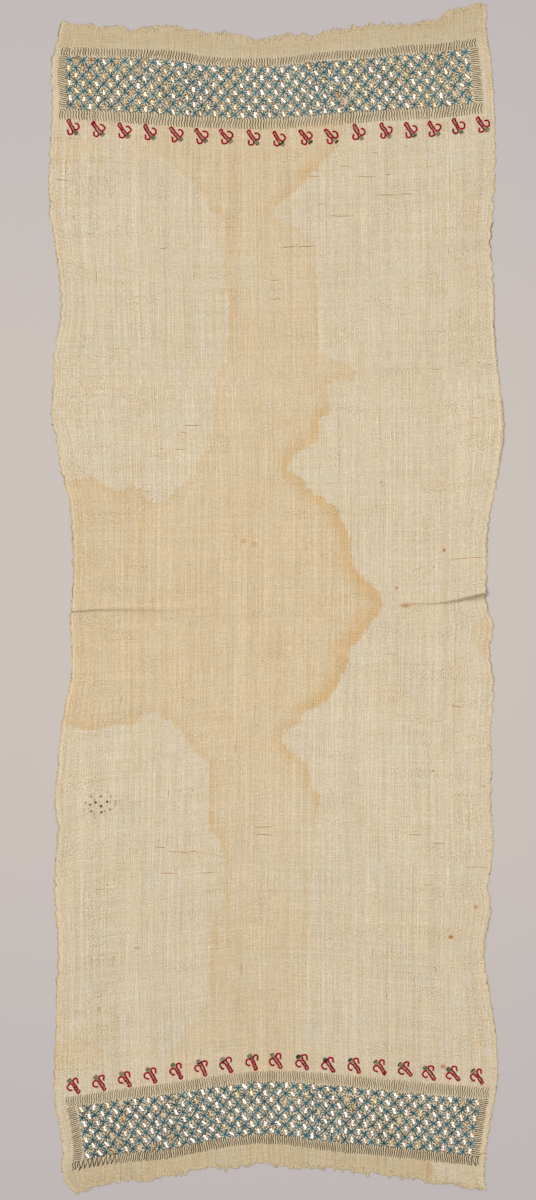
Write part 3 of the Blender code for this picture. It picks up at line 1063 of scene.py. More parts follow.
@dataclass
class ClothPlan:
    """Where each point of the cloth lies, and how high.

    Across is a share of the width, from the left selvedge. Along is a length from the top raw
    end.
    """

    mean_width: float = 478.0
    thickness: float = 0.45
    crease_sharpness: float = 1.6
    selvedge_width: float = 4.0
    selvedge_rise: float = 0.2
    scallop_pitch: float = 14.3
    scallop_depth: float = 1.7
    scallop_reach: float = 7.0
    nick_pitch: float = 4.5
    nick_depth: float = 0.5
    ragged_pitch: float = 5.6
    ragged_depth: float = 1.7
    warp_smoothing: float = 260.0
    warp_reach: float = 60.0

    def weft_lines(self, x: Array) -> Array:
        """Finds the known weft threads, from the top raw end to the bottom one.

        Args:
            x: Where they are read, in millimetres.

        Returns:
            Their Y at each x, one row for each thread.
        """
        lines = [smooth_curve(x, RAW_ENDS["x"], RAW_ENDS["top"])]
        lines[0] = lines[0] + self.ragged_depth * wobble(x, self.ragged_pitch, 11)
        for name in WEFT_LINES.dtype.names[1:]:
            lines.append(smooth_curve(x, WEFT_LINES["x"], WEFT_LINES[name]))
        last = smooth_curve(x, RAW_ENDS["x"], RAW_ENDS["bottom"])
        lines.append(last + self.ragged_depth * wobble(x, self.ragged_pitch, 12))
        return np.stack(lines)

    def weft_y(self, x: Array, along: Array) -> Array:
        """Finds one weft thread's Y.

        Args:
            x: Where it is read, in millimetres.
            along: How far along the cloth the thread lies, from the top raw end.

        Returns:
            Its Y at each x.
        """
        lines = self.weft_lines(x)
        stops = np.array(list(ALONG.values()))
        above = np.clip(np.searchsorted(stops, along, side="right") - 1, 0, len(stops) - 2)
        share = (along - stops[above]) / (stops[above + 1] - stops[above])
        columns = np.arange(len(above))
        return lines[above, columns] * (1.0 - share) + lines[above + 1, columns] * share

    def xy(self, across: Array, along: Array) -> tuple[Array, Array]:
        """Where points of the cloth lie.

        Args:
            across: Shares of the width.
            along: Millimetres along the cloth.

        Returns:
            X and Y in millimetres.
        """
        across = np.asarray(across, dtype=float).ravel()
        along = np.asarray(along, dtype=float).ravel()
        x = (across - 0.5) * self.mean_width
        for _ in range(4):
            y = self.weft_y(x, along)
            left = smooth_curve(y, SELVEDGES["y"], SELVEDGES["left"])
            right = smooth_curve(y, SELVEDGES["y"], SELVEDGES["right"])
            x = left + (right - left) * across
        return x + self.scallop(across, along), y

    def warp_place(self, across: Array, x: Array, y: Array) -> Array:
        """Which warp thread lies at each point.

        The threads follow each wave of the selvedges near them, and run nearly straight
        through the middle.

        Args:
            across: Shares of the width.
            x: X of each point.
            y: Y of each point.

        Returns:
            The thread's distance from the left selvedge, in millimetres.
        """
        reach = np.linspace(-self.warp_smoothing, self.warp_smoothing, 15)
        sides = [
            np.mean([smooth_curve(y + d, SELVEDGES["y"], SELVEDGES[side]) for d in reach], axis=0)
            for side in ("left", "right")
        ]
        straight = (x - sides[0]) / (sides[1] - sides[0]) * self.mean_width
        from_edge = np.minimum(across, 1.0 - across) * self.mean_width
        share = np.clip(from_edge / self.warp_reach, 0.0, 1.0)
        share = share * share * (3.0 - 2.0 * share)
        return across * self.mean_width * (1.0 - share) + straight * share

    def scallop(self, across: Array, along: Array) -> Array:
        """How far the uneven scallops of the selvedges move a point along X.

        Args:
            across: Shares of the width.
            along: Millimetres along the cloth.

        Returns:
            The shift of each point, in millimetres.
        """
        shift = np.zeros_like(across)
        for side, from_edge, seed in ((-1.0, across, 21), (1.0, 1.0 - across, 22)):
            drift = 11.0 * wobble(along, 45.0, seed)
            arc = np.abs(np.sin(math.pi * (along + drift) / self.scallop_pitch)) - 0.6
            depth = self.scallop_depth * (0.8 + 0.7 * wobble(along, 30.0, seed + 10))
            nicks = self.nick_depth * wobble(along, self.nick_pitch, seed + 20)
            reach = np.exp(-from_edge * self.mean_width / self.scallop_reach)
            shift += side * (depth * arc + nicks) * reach
        return shift

    def painted_crease_shade(self, x: Array, along: Array) -> Array:
        """How much shade is painted on the crease's lower side, the side that faces the bottom end.

        Args:
            x: X of each point.
            along: Millimetres along the cloth.

        Returns:
            The painted shade at each point, from 0 to 1.
        """
        below = along - ALONG["crease"]
        depth = np.interp(x, PAINTED_CREASE_SHADE["x"], PAINTED_CREASE_SHADE["depth"])
        width = np.interp(x, PAINTED_CREASE_SHADE["x"], PAINTED_CREASE_SHADE["width"])
        start = np.clip((below + 1.2) / 1.2, 0.0, 1.0)
        return depth * start * np.clip((1.25 * width - below) / (0.5 * width), 0.0, 1.0)

    def underside(self, x: Array, y: Array) -> Array:
        """Height of the cloth's underside: zero where it rests, more at creases and waves.

        Args:
            x: X of each point.
            y: Y of each point.

        Returns:
            The heights.
        """
        crest = smooth_curve(x, WEFT_LINES["x"], WEFT_LINES["crease"])
        upper = smooth_curve(x, CREASE["x"], CREASE["upper_reach"])
        lower = smooth_curve(x, CREASE["x"], CREASE["lower_reach"])
        height = smooth_curve(x, CREASE["x"], CREASE["height"])
        fall = np.clip(1.0 - np.abs(y - crest) / np.where(y > crest, upper, lower), 0.0, 1.0)
        crease = height * fall**self.crease_sharpness
        lift = np.zeros_like(x)
        for wave in EDGE_LIFTS:
            inward = np.clip(1.0 - np.abs(x - wave["x"]) / wave["reach"], 0.0, 1.0)
            sideways = np.clip(np.abs(y - wave["y"]) / wave["half_length"], 0.0, 1.0)
            lift += wave["height"] * (0.5 + 0.5 * np.cos(np.pi * sideways)) * inward**2
        return np.maximum(crease, lift)

    def face(self, x: Array, y: Array) -> Array:
        """Height of the cloth's upper face, away from the selvedges."""
        return self.underside(x, y) + self.thickness

    def weft_angle(self, across: Array, along: Array) -> Array:
        """The weft's direction at points of the cloth.

        Args:
            across: Shares of the width.
            along: Millimetres along the cloth.

        Returns:
            Its turn from X at each point.
        """
        step = 0.01
        x0, y0 = self.xy(np.asarray(across) - step, along)
        x1, y1 = self.xy(np.asarray(across) + step, along)
        return np.arctan2(y1 - y0, x1 - x0)


@dataclass
class StainMap:
    """Where the water stains lie, as numbers for each point of the cloth."""

    outline: Array = field(default_factory=lambda: MAIN_STAIN)

    def main(self, x: Array, y: Array) -> tuple[Array, Array]:
        """The large stain.

        Args:
            x: X of each point.
            y: Y of each point.

        Returns:
            How far inside the outline each point lies, negative outside it, and how dark the
            nearest stretch of the outline is.
        """
        ring_x, ring_y = photo_to_cloth(self.outline["photo_x"], self.outline["photo_y"])
        tides = self.outline["tide"]
        nearest = np.full(len(x), 1.0e9)
        tide = np.zeros(len(x))
        inside = np.zeros(len(x), dtype=bool)
        for start in range(len(ring_x)):
            end = (start + 1) % len(ring_x)
            dx = ring_x[end] - ring_x[start]
            dy = ring_y[end] - ring_y[start]
            share = ((x - ring_x[start]) * dx + (y - ring_y[start]) * dy) / (dx * dx + dy * dy)
            share = np.clip(share, 0.0, 1.0)
            gap = np.hypot(x - ring_x[start] - share * dx, y - ring_y[start] - share * dy)
            closer = gap < nearest
            nearest = np.where(closer, gap, nearest)
            tide = np.where(closer, tides[start] + share * (tides[end] - tides[start]), tide)
            crosses = (ring_y[start] > y) != (ring_y[end] > y)
            if dy != 0.0:
                at = ring_x[start] + (y - ring_y[start]) / dy * dx
                inside ^= crosses & (x < at)
        return np.where(inside, nearest, -nearest), tide

    def tone(self, y: Array) -> Array:
        """How deep the large stain's colour is, down the length."""
        _, rows = photo_to_cloth(STAIN_TONE["photo_y"], STAIN_TONE["photo_y"])
        return smooth_curve(y, rows, STAIN_TONE["tone"])

    def clean(self, x: Array, y: Array) -> Array:
        """Where the bottom right corner has stayed clean, past a sharp line.

        Args:
            x: X of each point.
            y: Y of each point.

        Returns:
            1 where the cloth is clean, and 0 elsewhere.
        """
        line = photo_to_cloth(*CLEAN_CORNER)
        ragged = 1.5 * wobble(y, 7.0, 33)
        return np.clip((x + ragged - line[0]) / 3.0, 0.0, 1.0) * np.clip((line[1] - y) / 6.0, 0.0, 1.0)

    def patches(self, x: Array, y: Array) -> Array:
        """The small soft patches.

        Args:
            x: X of each point.
            y: Y of each point.

        Returns:
            How deep the patches' colour is at each point.
        """
        depth = np.zeros(len(x))
        for patch in STAIN_PATCHES:
            centre_x, centre_y = photo_to_cloth(patch["photo_x"], patch["photo_y"])
            ragged = 0.18 * wobble(x + y, 6.0, 31) + 0.18 * wobble(x - y, 9.0, 32)
            ratio = np.hypot(
                (x - centre_x) / (patch["half_width"] * PHOTO_PIXEL),
                (y - centre_y) / (patch["half_height"] * PHOTO_PIXEL),
            )
            share = np.clip((1.25 + ragged - ratio) / 0.5, 0.0, 1.0)
            depth = np.maximum(depth, patch["tone"] * share * share * (3.0 - 2.0 * share))
        return depth


@dataclass
class GroundCloth:
    """The gauze itself: a thin closed shell with its selvedges and ragged raw ends."""

    plan: ClothPlan
    stains: StainMap
    finish: SilkGauze
    columns: int = 106
    rows: int = 440

    def across_stops(self) -> Array:
        """Sets the columns of points, closer together in the selvedges.

        Returns:
            Their shares of the width.
        """
        plan = self.plan
        rib = plan.selvedge_width / plan.mean_width
        edge = rib * np.array([0.0, 0.25, 0.6, 0.85])
        inner = np.linspace(rib, 1.0 - rib, self.columns - 2 * len(edge) + 1)
        return np.concatenate([edge, inner, 1.0 - edge[::-1]])

    def along_stops(self) -> Array:
        """Sets the rows of points, closer together at the raw ends and at the crease.

        Returns:
            How far along the cloth each row lies, in millimetres.
        """
        end = ALONG["bottom"]
        edge = np.array([0.0, 0.3, 1.4, 3.2])
        crease = ALONG["crease"] + np.array([-9.0, -6.5, -4.5, -2.8, -1.4, 0.0, 1.1, 2.3, 3.6, 5.2])
        plain = np.linspace(5.5, end - 5.5, self.rows - len(crease) - 2 * len(edge) + 1)
        plain = plain[(plain < crease[0] - 1.0) | (plain > crease[-1] + 1.0)]
        return np.sort(np.concatenate([edge, plain, crease, end - edge]))

    def rib(self, across: Array) -> Array:
        """How far the selvedge rib stands above the face.

        Args:
            across: Shares of the width.

        Returns:
            The rib's height at each.
        """
        plan = self.plan
        from_edge = np.minimum(across, 1.0 - across) * plan.mean_width
        share = np.array([0.3, 1.0, 0.8, 0.0])
        stations = plan.selvedge_width * np.array([0.0, 0.3, 0.8, 1.1])
        return np.interp(from_edge, stations, share * plan.selvedge_rise)

    def build(self) -> Piece:
        """Makes the shell, with its UV map and the numbers that its finish reads.

        Returns:
            The piece.
        """
        plan = self.plan
        across_stops = self.across_stops()
        along_stops = self.along_stops()
        across, along = (grid.ravel() for grid in np.meshgrid(across_stops, along_stops))
        x, y = plan.xy(across, along)
        lower = plan.underside(x, y)
        upper = lower + plan.thickness + self.rib(across)
        points = np.concatenate([np.stack([x, y, upper], 1), np.stack([x, y, lower], 1)])
        faces = shell_faces(len(along_stops), len(across_stops), falling=True)
        cloth = mesh_object("gauze_ground", points, faces)
        mesh = cloth.data
        mesh.shade_smooth()
        uv = np.stack([plan.warp_place(across, x, y), along], 1) / UV_SPAN
        uv = np.concatenate([uv, uv])
        corners = np.empty(len(mesh.loops), dtype=np.int32)
        mesh.loops.foreach_get("vertex_index", corners)
        layer = mesh.uv_layers.new(name="cloth")
        layer.data.foreach_set("uv", uv[corners].ravel().astype(np.float32))
        depth, tide = self.stains.main(x, y)
        clean = self.stains.clean(x, y)
        end_gap = np.minimum(along, ALONG["bottom"] - along) + 40.0 * clean
        values = {
            "stain_depth": depth, "stain_tide": tide, "stain_reach": 4.0 + 24.0 * tide,
            "stain_tone": self.stains.tone(y), "stain_patch": self.stains.patches(x, y) * (1.0 - clean),
            "edge_distance": np.minimum(across, 1.0 - across) * plan.mean_width, "end_distance": end_gap,
            "painted_crease_shade": plan.painted_crease_shade(x, along),
        }
        for name, numbers in values.items():
            point_values(cloth, name, np.concatenate([numbers, numbers]))
        mesh.materials.append(self.finish.build())
        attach(cloth, BODY)
        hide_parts("ground_cloth")
        return cloth


@dataclass
class ThreadSpinner:
    """Turns paths into round or flattened threads that lie on the cloth.

    The paths are gathered first. One Geometry Nodes tree then sweeps a ring along all of them.
    """

    plan: ClothPlan
    sides: int = 5
    tree: Tree | None = None
    paths: list[Array] = field(default_factory=list)

    def add(self, xy: Array, heights: Any, radii: Any, tints: Any) -> None:
        """Adds one thread.

        Each of the last three is one number for all points, or one for each.

        Args:
            xy: Its path in millimetres, one row for each point.
            heights: Height of its middle above the cloth's face.
            radii: Its radius.
            tints: Which of its finish's colours it takes, from 0 to 1.
        """
        columns = [np.broadcast_to(values, len(xy)) for values in (heights, radii, tints)]
        self.paths.append(np.column_stack([xy, *columns]))

    def sweep_tree(self) -> Tree:
        """Makes the tree that sweeps a ring along each path.

        Returns:
            The tree.
        """
        tree, source, result = set_up_tree(
            "thread_sweep",
            {"Sides": "NodeSocketInt", "Flatness": "NodeSocketFloat", "Finish": "NodeSocketMaterial"},
        )
        curve = add_node(tree, "GeometryNodeMeshToCurve", inputs={0: source.outputs["Geometry"]})
        level = add_node(tree, "GeometryNodeSetCurveNormal", {"mode": "Z_UP"}, {0: curve})
        length = add_node(tree, "GeometryNodeSplineParameter").outputs["Length"]
        marked = add_node(
            tree, "GeometryNodeStoreNamedAttribute", {"data_type": "FLOAT", "domain": "POINT"},
            {"Geometry": level, "Name": "run", "Value": length},
        )
        ring = add_node(
            tree, "GeometryNodeCurvePrimitiveCircle",
            inputs={"Resolution": source.outputs["Sides"], "Radius": 1.0},
        )
        squash = add_node(
            tree, "ShaderNodeCombineXYZ", inputs={0: 1.0, 1: source.outputs["Flatness"], 2: 1.0}
        )
        profile = add_node(tree, "GeometryNodeTransform", inputs={"Geometry": ring, "Scale": squash})
        radius = add_node(
            tree, "GeometryNodeInputNamedAttribute", {"data_type": "FLOAT"}, {"Name": "radius"}
        )
        tube = add_node(
            tree, "GeometryNodeCurveToMesh",
            inputs={"Curve": marked, "Profile Curve": profile, "Scale": radius, "Fill Caps": True},
        )
        smooth = add_node(tree, "GeometryNodeSetShadeSmooth", inputs={0: tube})
        end_tree(tree, smooth, source, result)
        return tree

    def spin(self, name: str, finish: Finish, flatness: float = 1.0) -> Piece:
        """Makes one piece of all the gathered threads.

        Args:
            name: The piece's name.
            finish: Its finish.
            flatness: Height of a thread's section over its width.

        Returns:
            The piece, riding on the scarf.
        """
        if self.tree is None:
            self.tree = self.sweep_tree()
        x, y, heights, radii, tints = np.concatenate(self.paths).T
        z = self.plan.face(x, y) + heights
        edges = []
        start = 0
        for path in self.paths:
            edges += [(start + k, start + k + 1) for k in range(len(path) - 1)]
            start += len(path)
        piece = mesh_object(name, np.column_stack([x, y, z]), [], edges)
        point_values(piece, "radius", radii * MM)
        point_values(piece, "tint", tints)
        material = finish.build()
        grow(piece, self.tree, {"Sides": self.sides, "Flatness": flatness, "Finish": material})
        self.paths.clear()
        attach(piece, BODY)
        LOG.info("%s: %d faces", name, len(piece.data.polygons))
        return piece


@dataclass
class StripScatter:
    """Sets small flat metal patches on the cloth, each with its own form, turn and size."""

    plan: ClothPlan
    length: float = 7.8
    width: float = 4.0
    dome: float = 0.15
    folds: int = 3
    wide_steps: int = 5
    depth: float = 0.25
    forms: int = 8
    gleam: float = 0.75
    dull_share: float = 0.16
    dull_tint: float = 0.2

    def patch(self, seed: int) -> Piece:
        """One patch: a low cushion of strip wound side by side, with a groove between turns.

        Args:
            seed: Fixes the patch's own uneven outline.

        Returns:
            The patch, about the origin.
        """
        chance = np.random.default_rng(seed)
        long_steps = 2 * self.folds + 1
        slides = chance.normal(0.0, 0.3, long_steps)
        widths = chance.uniform(0.62, 1.1, long_steps)
        if seed % 3 == 0:
            widths[self.folds] = 0.4
        rows = []
        for i in range(long_steps):
            s = i / (long_steps - 1)
            for j in range(self.wide_steps):
                t = j / (self.wide_steps - 1)
                x = (t - 0.5) * self.width * widths[i] + slides[i]
                y = (s - 0.5) * self.length
                crown = math.sin(math.pi * t) ** 0.6 * math.sin(math.pi * (0.06 + 0.88 * s)) ** 0.5
                groove = 0.0 if i % 2 else -0.06
                rows.append((x, y, max(0.02, self.dome * crown + groove * crown)))
        flat = [(x, y, -self.depth) for x, y, _ in rows]
        faces = shell_faces(long_steps, self.wide_steps, falling=False)
        return mesh_object(f"strip_patch_{seed}", np.array(rows + flat), faces)

    def scatter_tree(self) -> Tree:
        """Makes the tree that puts one of the patches on each point.

        Returns:
            The tree.
        """
        tree, source, result = set_up_tree(
            "strip_scatter",
            {"Patches": "NodeSocketCollection", "Seed": "NodeSocketInt", "Finish": "NodeSocketMaterial"},
        )
        turn = add_node(tree, "GeometryNodeInputNamedAttribute", {"data_type": "FLOAT"}, {"Name": "turn"})
        size = add_node(tree, "GeometryNodeInputNamedAttribute", {"data_type": "FLOAT"}, {"Name": "size"})
        axis = add_node(tree, "ShaderNodeCombineXYZ", inputs={2: turn})
        facing = add_node(tree, "FunctionNodeEulerToRotation", inputs={0: axis})
        forms = add_node(
            tree, "GeometryNodeCollectionInfo",
            inputs={0: source.outputs["Patches"], "Separate Children": True},
        )
        pick = add_node(
            tree, "FunctionNodeRandomValue", {"data_type": "INT"},
            {4: 0, 5: self.forms - 1, "Seed": source.outputs["Seed"]},
        )
        placed = add_node(
            tree, "GeometryNodeInstanceOnPoints",
            inputs={
                "Points": source.outputs["Geometry"], "Instance": forms, "Pick Instance": True,
                "Instance Index": pick.outputs[2], "Rotation": facing, "Scale": size,
            },
        )
        end_tree(tree, placed, source, result)
        return tree

    def scatter(
        self, name: str, x: Array, y: Array, turns: Array, seed: int, finish: Finish
    ) -> Piece:
        """Makes one piece of patches.

        Args:
            name: The piece's name.
            x: X of each patch, in millimetres.
            y: Y of each patch.
            turns: Each patch's turn from Y.
            seed: Fixes the sizes and tints.
            finish: The patches' finish.

        Returns:
            The piece, riding on the scarf.
        """
        chance = np.random.default_rng(seed)
        z = self.plan.face(x, y) + self.depth
        piece = mesh_object(name, np.column_stack([x, y, z]), [])
        point_values(piece, "turn", turns)
        point_values(piece, "size", chance.uniform(0.76, 1.1, len(x)) * (0.8 + 0.27 * self.gleam))
        tints = chance.normal(self.gleam, 0.15, len(x))
        tints = np.where(chance.uniform(size=len(x)) < self.dull_share, self.dull_tint, tints)
        tints = tints + 0.25 * wobble(x, 70.0, seed)
        point_values(piece, "tint", np.clip(tints, 0.05, 1.0))
        patches = bpy.data.collections.new("strip_patches")
        for form in range(self.forms):
            patch = self.patch(form)
            bpy.context.collection.objects.unlink(patch)
            patches.objects.link(patch)
        sockets = {"Patches": patches, "Seed": seed, "Finish": finish.build()}
        grow(piece, self.scatter_tree(), sockets)
        for patch in list(patches.objects):
            bpy.data.objects.remove(patch, do_unlink=True)
        bpy.data.collections.remove(patches)
        piece.data.shade_smooth()
        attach(piece, BODY)
        LOG.info("%s: %d faces", name, len(piece.data.polygons))
        return piece


@dataclass
class EmbroideredBand:
    """A field of stars inside its ladder border, at one end of the cloth.

    Left and right are shares of the cloth's width. The other shares are of the band's own width
    or height, and rows count from its outer edge inward.
    """

    plan: ClothPlan
    spinner: ThreadSpinner
    end: End
    left: float
    right: float
    outer_share: float
    inner_share: float
    first_row: float
    phase: float
    rung_pitch: float
    outer_weight: float
    star_weight: float
    fade: float
    gleam: float
    loose: tuple[tuple[float, float], ...]
    side_share: float = 0.021
    half_steps: float = 61.6
    row_pitch: float = 0.105
    side_gap: float = 0.002
    star_rows: int = 7
    side_rung_pitch: float = 2.3
    jitter: float = 0.35
    straight_arm: float = 4.5
    slanted_arm: float = 5.9
    strip_lean_degrees: float = 20.0
    strip_spread_degrees: float = 13.0
    strip_lost_share: float = 0.05
    strip_lost_reach: float = 6.0
    rays: int = 8
    ray_lost_share: float = 0.12
    dark_rung_share: float = 0.132
    ridge_share: float = 0.2

    def seed(self, offset: int) -> Chance:
        """A fixed run of random numbers for one part of this band."""
        return np.random.default_rng(100 * (1 if self.end is End.TOP else 2) + offset)

    def cloth_place(self, u: Array, v: Array) -> tuple[Array, Array]:
        """Turns places in the band into places on the cloth.

        Args:
            u: Shares of the band's width, from its left side.
            v: Shares of its height, from its outer edge inward.

        Returns:
            Shares of the cloth's width, and millimetres along the cloth.
        """
        outer = ALONG[f"{self.end.label}_outer"]
        inner = ALONG[f"{self.end.label}_inner"]
        across = self.left + (self.right - self.left) * np.asarray(u, dtype=float)
        along = outer + (inner - outer) * np.asarray(v, dtype=float)
        return across, along

    def lattice(self, stars: bool) -> tuple[Array, Array, Array]:
        """The middles of the stars, or of the gaps between them.

        Args:
            stars: True for the stars.

        Returns:
            X, Y and the weft's turn at each.
        """
        chosen = []
        for row in range(1, self.star_rows + 1):
            v = self.first_row + (row - 1) * self.row_pitch
            for column in range(int(self.half_steps)):
                u = (column + self.phase) / self.half_steps
                clear = min(u, 1.0 - u) > self.side_share + self.side_gap
                if clear and bool((row + column) % 2) == stars:
                    chosen.append((u, v))
        places = np.array(chosen)
        across, along = self.cloth_place(places[:, 0], places[:, 1])
        x, y = self.plan.xy(across, along)
        chance = self.seed(1 if stars else 2)
        x = x + chance.normal(0.0, self.jitter, len(x))
        y = y + chance.normal(0.0, self.jitter, len(y))
        return x, y, self.plan.weft_angle(across, along)

    def stitch(
        self, centre: tuple[float, float], turn: float, angle: float, inner: float, outer: float
    ) -> Array:
        """The path of one straight stitch that points away from a centre.

        Args:
            centre: X and Y of the centre, in millimetres.
            turn: The weft's turn there.
            angle: The stitch's own direction, from the weft.
            inner: How far from the centre it starts.
            outer: How far from the centre it ends.

        Returns:
            Three points along it.
        """
        reach = np.array([inner, 0.5 * (inner + outer), outer])[:, None]
        way = np.array([math.cos(angle + turn), math.sin(angle + turn)])
        return np.array(centre) + reach * way

    def build_stars(self) -> Piece:
        """Stitches the stars: eight arms from each middle, where they crowd and look darkest.

        Returns:
            The piece of all the stars.
        """
        chance = self.seed(3)
        for x, y, turn in zip(*self.lattice(stars=True)):
            tone = self.fade + 0.15 * float(wobble(x, 110.0, 45)) + chance.normal(0.0, 0.12)
            for arm in range(8):
                slant = arm % 2 == 1
                angle = math.radians(45.0 * arm + (2.5 if slant else 0.0)) + chance.normal(0.0, 0.09)
                arm_length = self.slanted_arm if slant else self.straight_arm
                outer = arm_length * chance.uniform(0.88, 1.08)
                path = self.stitch((x, y), turn, angle, -0.3, outer)
                heights = np.array([0.5 + 0.04 * arm, 0.5, 0.3])
                radii = (0.6 if slant else 0.42) * chance.uniform(0.8, 1.1) * np.array([0.5, 1.0, 1.1])
                radii = radii * self.star_weight
                tints = np.array([0.3, 0.35, 0.35]) + tone + chance.normal(0.0, 0.18)
                self.spinner.add(path, heights, radii, np.clip(tints, 0.0, 1.0))
        stars = self.spinner.spin(f"{self.end.label}_star_stitches", BLUE_FLOSS, 0.7)
        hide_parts(f"{self.end.label}_star_field")
        return stars

    def build_strip(self) -> Piece:
        """Sets a patch of flat strip in each gap but a few that stay bare, leaning to the left.

        Returns:
            The piece of all the strip.
        """
        x, y, turns = self.lattice(stars=False)
        chance = self.seed(4)
        lost_x, lost_y = photo_to_cloth(*LOST_STRIP)
        far = np.hypot(x - lost_x, y - lost_y) > self.strip_lost_reach
        kept = far & (chance.uniform(size=len(x)) > self.strip_lost_share)
        x, y, turns = x[kept], y[kept], turns[kept]
        spread = math.radians(self.strip_spread_degrees)
        lean = math.radians(self.strip_lean_degrees) + chance.normal(0.0, spread, len(x))
        finish = SilverStrip("silvered flat strip", "silver_strip")
        name = f"{self.end.label}_silver_strip"
        return StripScatter(self.plan, gleam=self.gleam).scatter(name, x, y, turns + lean, 7, finish)

    def build_rings(self) -> Piece:
        """Sets tan stitches round each patch like rays, with dark ones between them.

        Returns:
            The piece of all the rings.
        """
        chance = self.seed(5)
        heights = np.array([0.0, 0.24, 0.0])
        for x, y, turn in zip(*self.lattice(stars=False)):
            start = chance.uniform(0.0, 2.0 * math.pi)
            dirt = 1.1 * max(0.0, float(wobble(x, 48.0, 46)) - 0.25)
            for ray in range(2 * self.rays):
                dark = ray % 2 == 1
                if not dark and chance.uniform() < self.ray_lost_share:
                    continue
                angle = start + math.pi * ray / self.rays + chance.normal(0.0, 0.13)
                stretch = 1.0 + 0.3 * abs(math.sin(angle))
                inner = ((2.5 if dark else 2.1) + chance.normal(0.0, 0.3)) * stretch
                outer = inner + (1.9 if dark else 1.3) * chance.uniform(0.7, 1.2)
                path = self.stitch((x, y), turn, angle, inner, outer)
                tint = chance.normal(0.05, 0.07) if dark else chance.normal(0.7, 0.22) - dirt
                radius = 0.44 if dark else 0.5
                rise = 0.12 if dark else 0.0
                self.spinner.add(path, heights + rise, radius, float(np.clip(tint, 0.0, 1.0)))
        return self.spinner.spin(f"{self.end.label}_ring_stitches", TAN_FLOSS, 0.8)

    def rungs(self, start_v: float, end_v: float, dark: bool) -> None:
        """Adds the rungs of one long side.

        Args:
            start_v: Where they start, as a share of the band's height from its outer edge.
            end_v: Where they end.
            dark: True for the tarnished thread, False for the pale ridge between.
        """
        chance = self.seed(int(1000 * start_v) + (1 if dark else 2))
        width = (self.right - self.left) * self.plan.mean_width
        count = int(round(width / self.rung_pitch))
        outer_side = start_v == 0.0
        us = []
        vs = []
        sizes = []
        slack = []
        for k in range(count):
            u = (k + (0.25 if dark else 0.75)) / count
            corner = max(0.0, 1.0 - min(u, 1.0 - u) * count / 7.0)
            fan = math.copysign(corner * 1.4, 0.5 - u)
            lean = 0.5 * float(wobble(u * width, 26.0, 41))
            bow = 0.2 + 0.14 * float(wobble(u * width, 19.0, 42))
            swing = np.array([-fan - lean, bow - 0.4 * lean, -bow + 0.4 * lean, lean])
            swing += chance.normal(0.0, 0.07, 4)
            loose = outer_side and any(first <= u <= last for first, last in self.loose)
            if loose and not dark and k % 2:
                continue
            if loose:
                swing += np.array([0.5, 0.15, -0.2, -0.55]) * (1.0 if k % 2 else -1.0)
            ends = np.array([start_v, end_v]) + chance.normal(0.0, 0.0045, 2)
            us.append(np.clip(u + swing / count, 0.0, 1.0))
            vs.append(np.linspace(*ends, 4))
            usual = 1.0 + 0.22 * float(wobble(u * width, 13.0, 44))
            sizes.append(usual * (self.outer_weight if outer_side and dark else 1.0))
            slack.append(loose)
        self.lay_rungs(np.array(us), np.array(vs), chance, dark, list(zip(sizes, slack)))

    def side_rungs(self, start_u: float, end_u: float, dark: bool) -> None:
        """Adds the rungs of one short side, which lie across it.

        Args:
            start_u: Where they start, as a share of the band's width.
            end_u: Where they end.
            dark: True for the tarnished thread, False for the pale ridge between.
        """
        chance = self.seed(int(1000 * start_u) + (11 if dark else 12))
        top = self.outer_share * 0.9
        bottom = 1.0 - self.inner_share * 0.95
        length = abs(ALONG[f"{self.end.label}_inner"] - ALONG[f"{self.end.label}_outer"])
        count = int(round((bottom - top) * length / self.side_rung_pitch))
        us = []
        vs = []
        for k in range(count):
            v = top + (bottom - top) * (k + (0.25 if dark else 0.75)) / count
            lean = 0.35 + 0.4 * float(wobble(v * length, 16.0, 43))
            swing = np.array([-lean, 0.2 - 0.5 * lean, 0.5 * lean - 0.2, lean])
            swing += chance.normal(0.0, 0.07, 4)
            us.append(np.linspace(start_u, end_u, 4) + chance.normal(0.0, 0.001))
            vs.append(v + swing * (bottom - top) / count)
        size = 0.9 * (self.outer_weight if dark else 1.0)
        self.lay_rungs(np.array(us), np.array(vs), chance, dark, [(size, False)] * count)

    def lay_rungs(
        self, us: Array, vs: Array, chance: Chance, dark: bool, sizes: list
    ) -> None:
        """Adds rungs to the threads.

        Args:
            us: Each rung's places from the band's left side, one row for each rung.
            vs: Its places from the band's outer edge.
            chance: Random numbers for the tints.
            dark: True for the tarnished thread, False for the pale ridge between.
            sizes: Each rung's thickness, where 1 is the usual one, and whether it hangs loose.
        """
        x, y = self.plan.xy(*self.cloth_place(us.ravel(), vs.ravel()))
        x = x.reshape(us.shape)
        y = y.reshape(us.shape)
        radius = self.rung_pitch * (self.dark_rung_share if dark else self.ridge_share)
        heights = np.array([-0.15, 0.1, 0.1, -0.15]) if dark else np.array([-0.1, 0.24, 0.24, -0.1])
        for k, (size, loose) in enumerate(sizes):
            tint = chance.normal(0.12 if loose else 0.45, 0.25)
            path = np.column_stack([x[k], y[k]])
            lift = 0.3 if loose and dark else 0.1
            self.spinner.add(path, heights + lift, radius * size, float(np.clip(tint, 0.0, 1.0)))

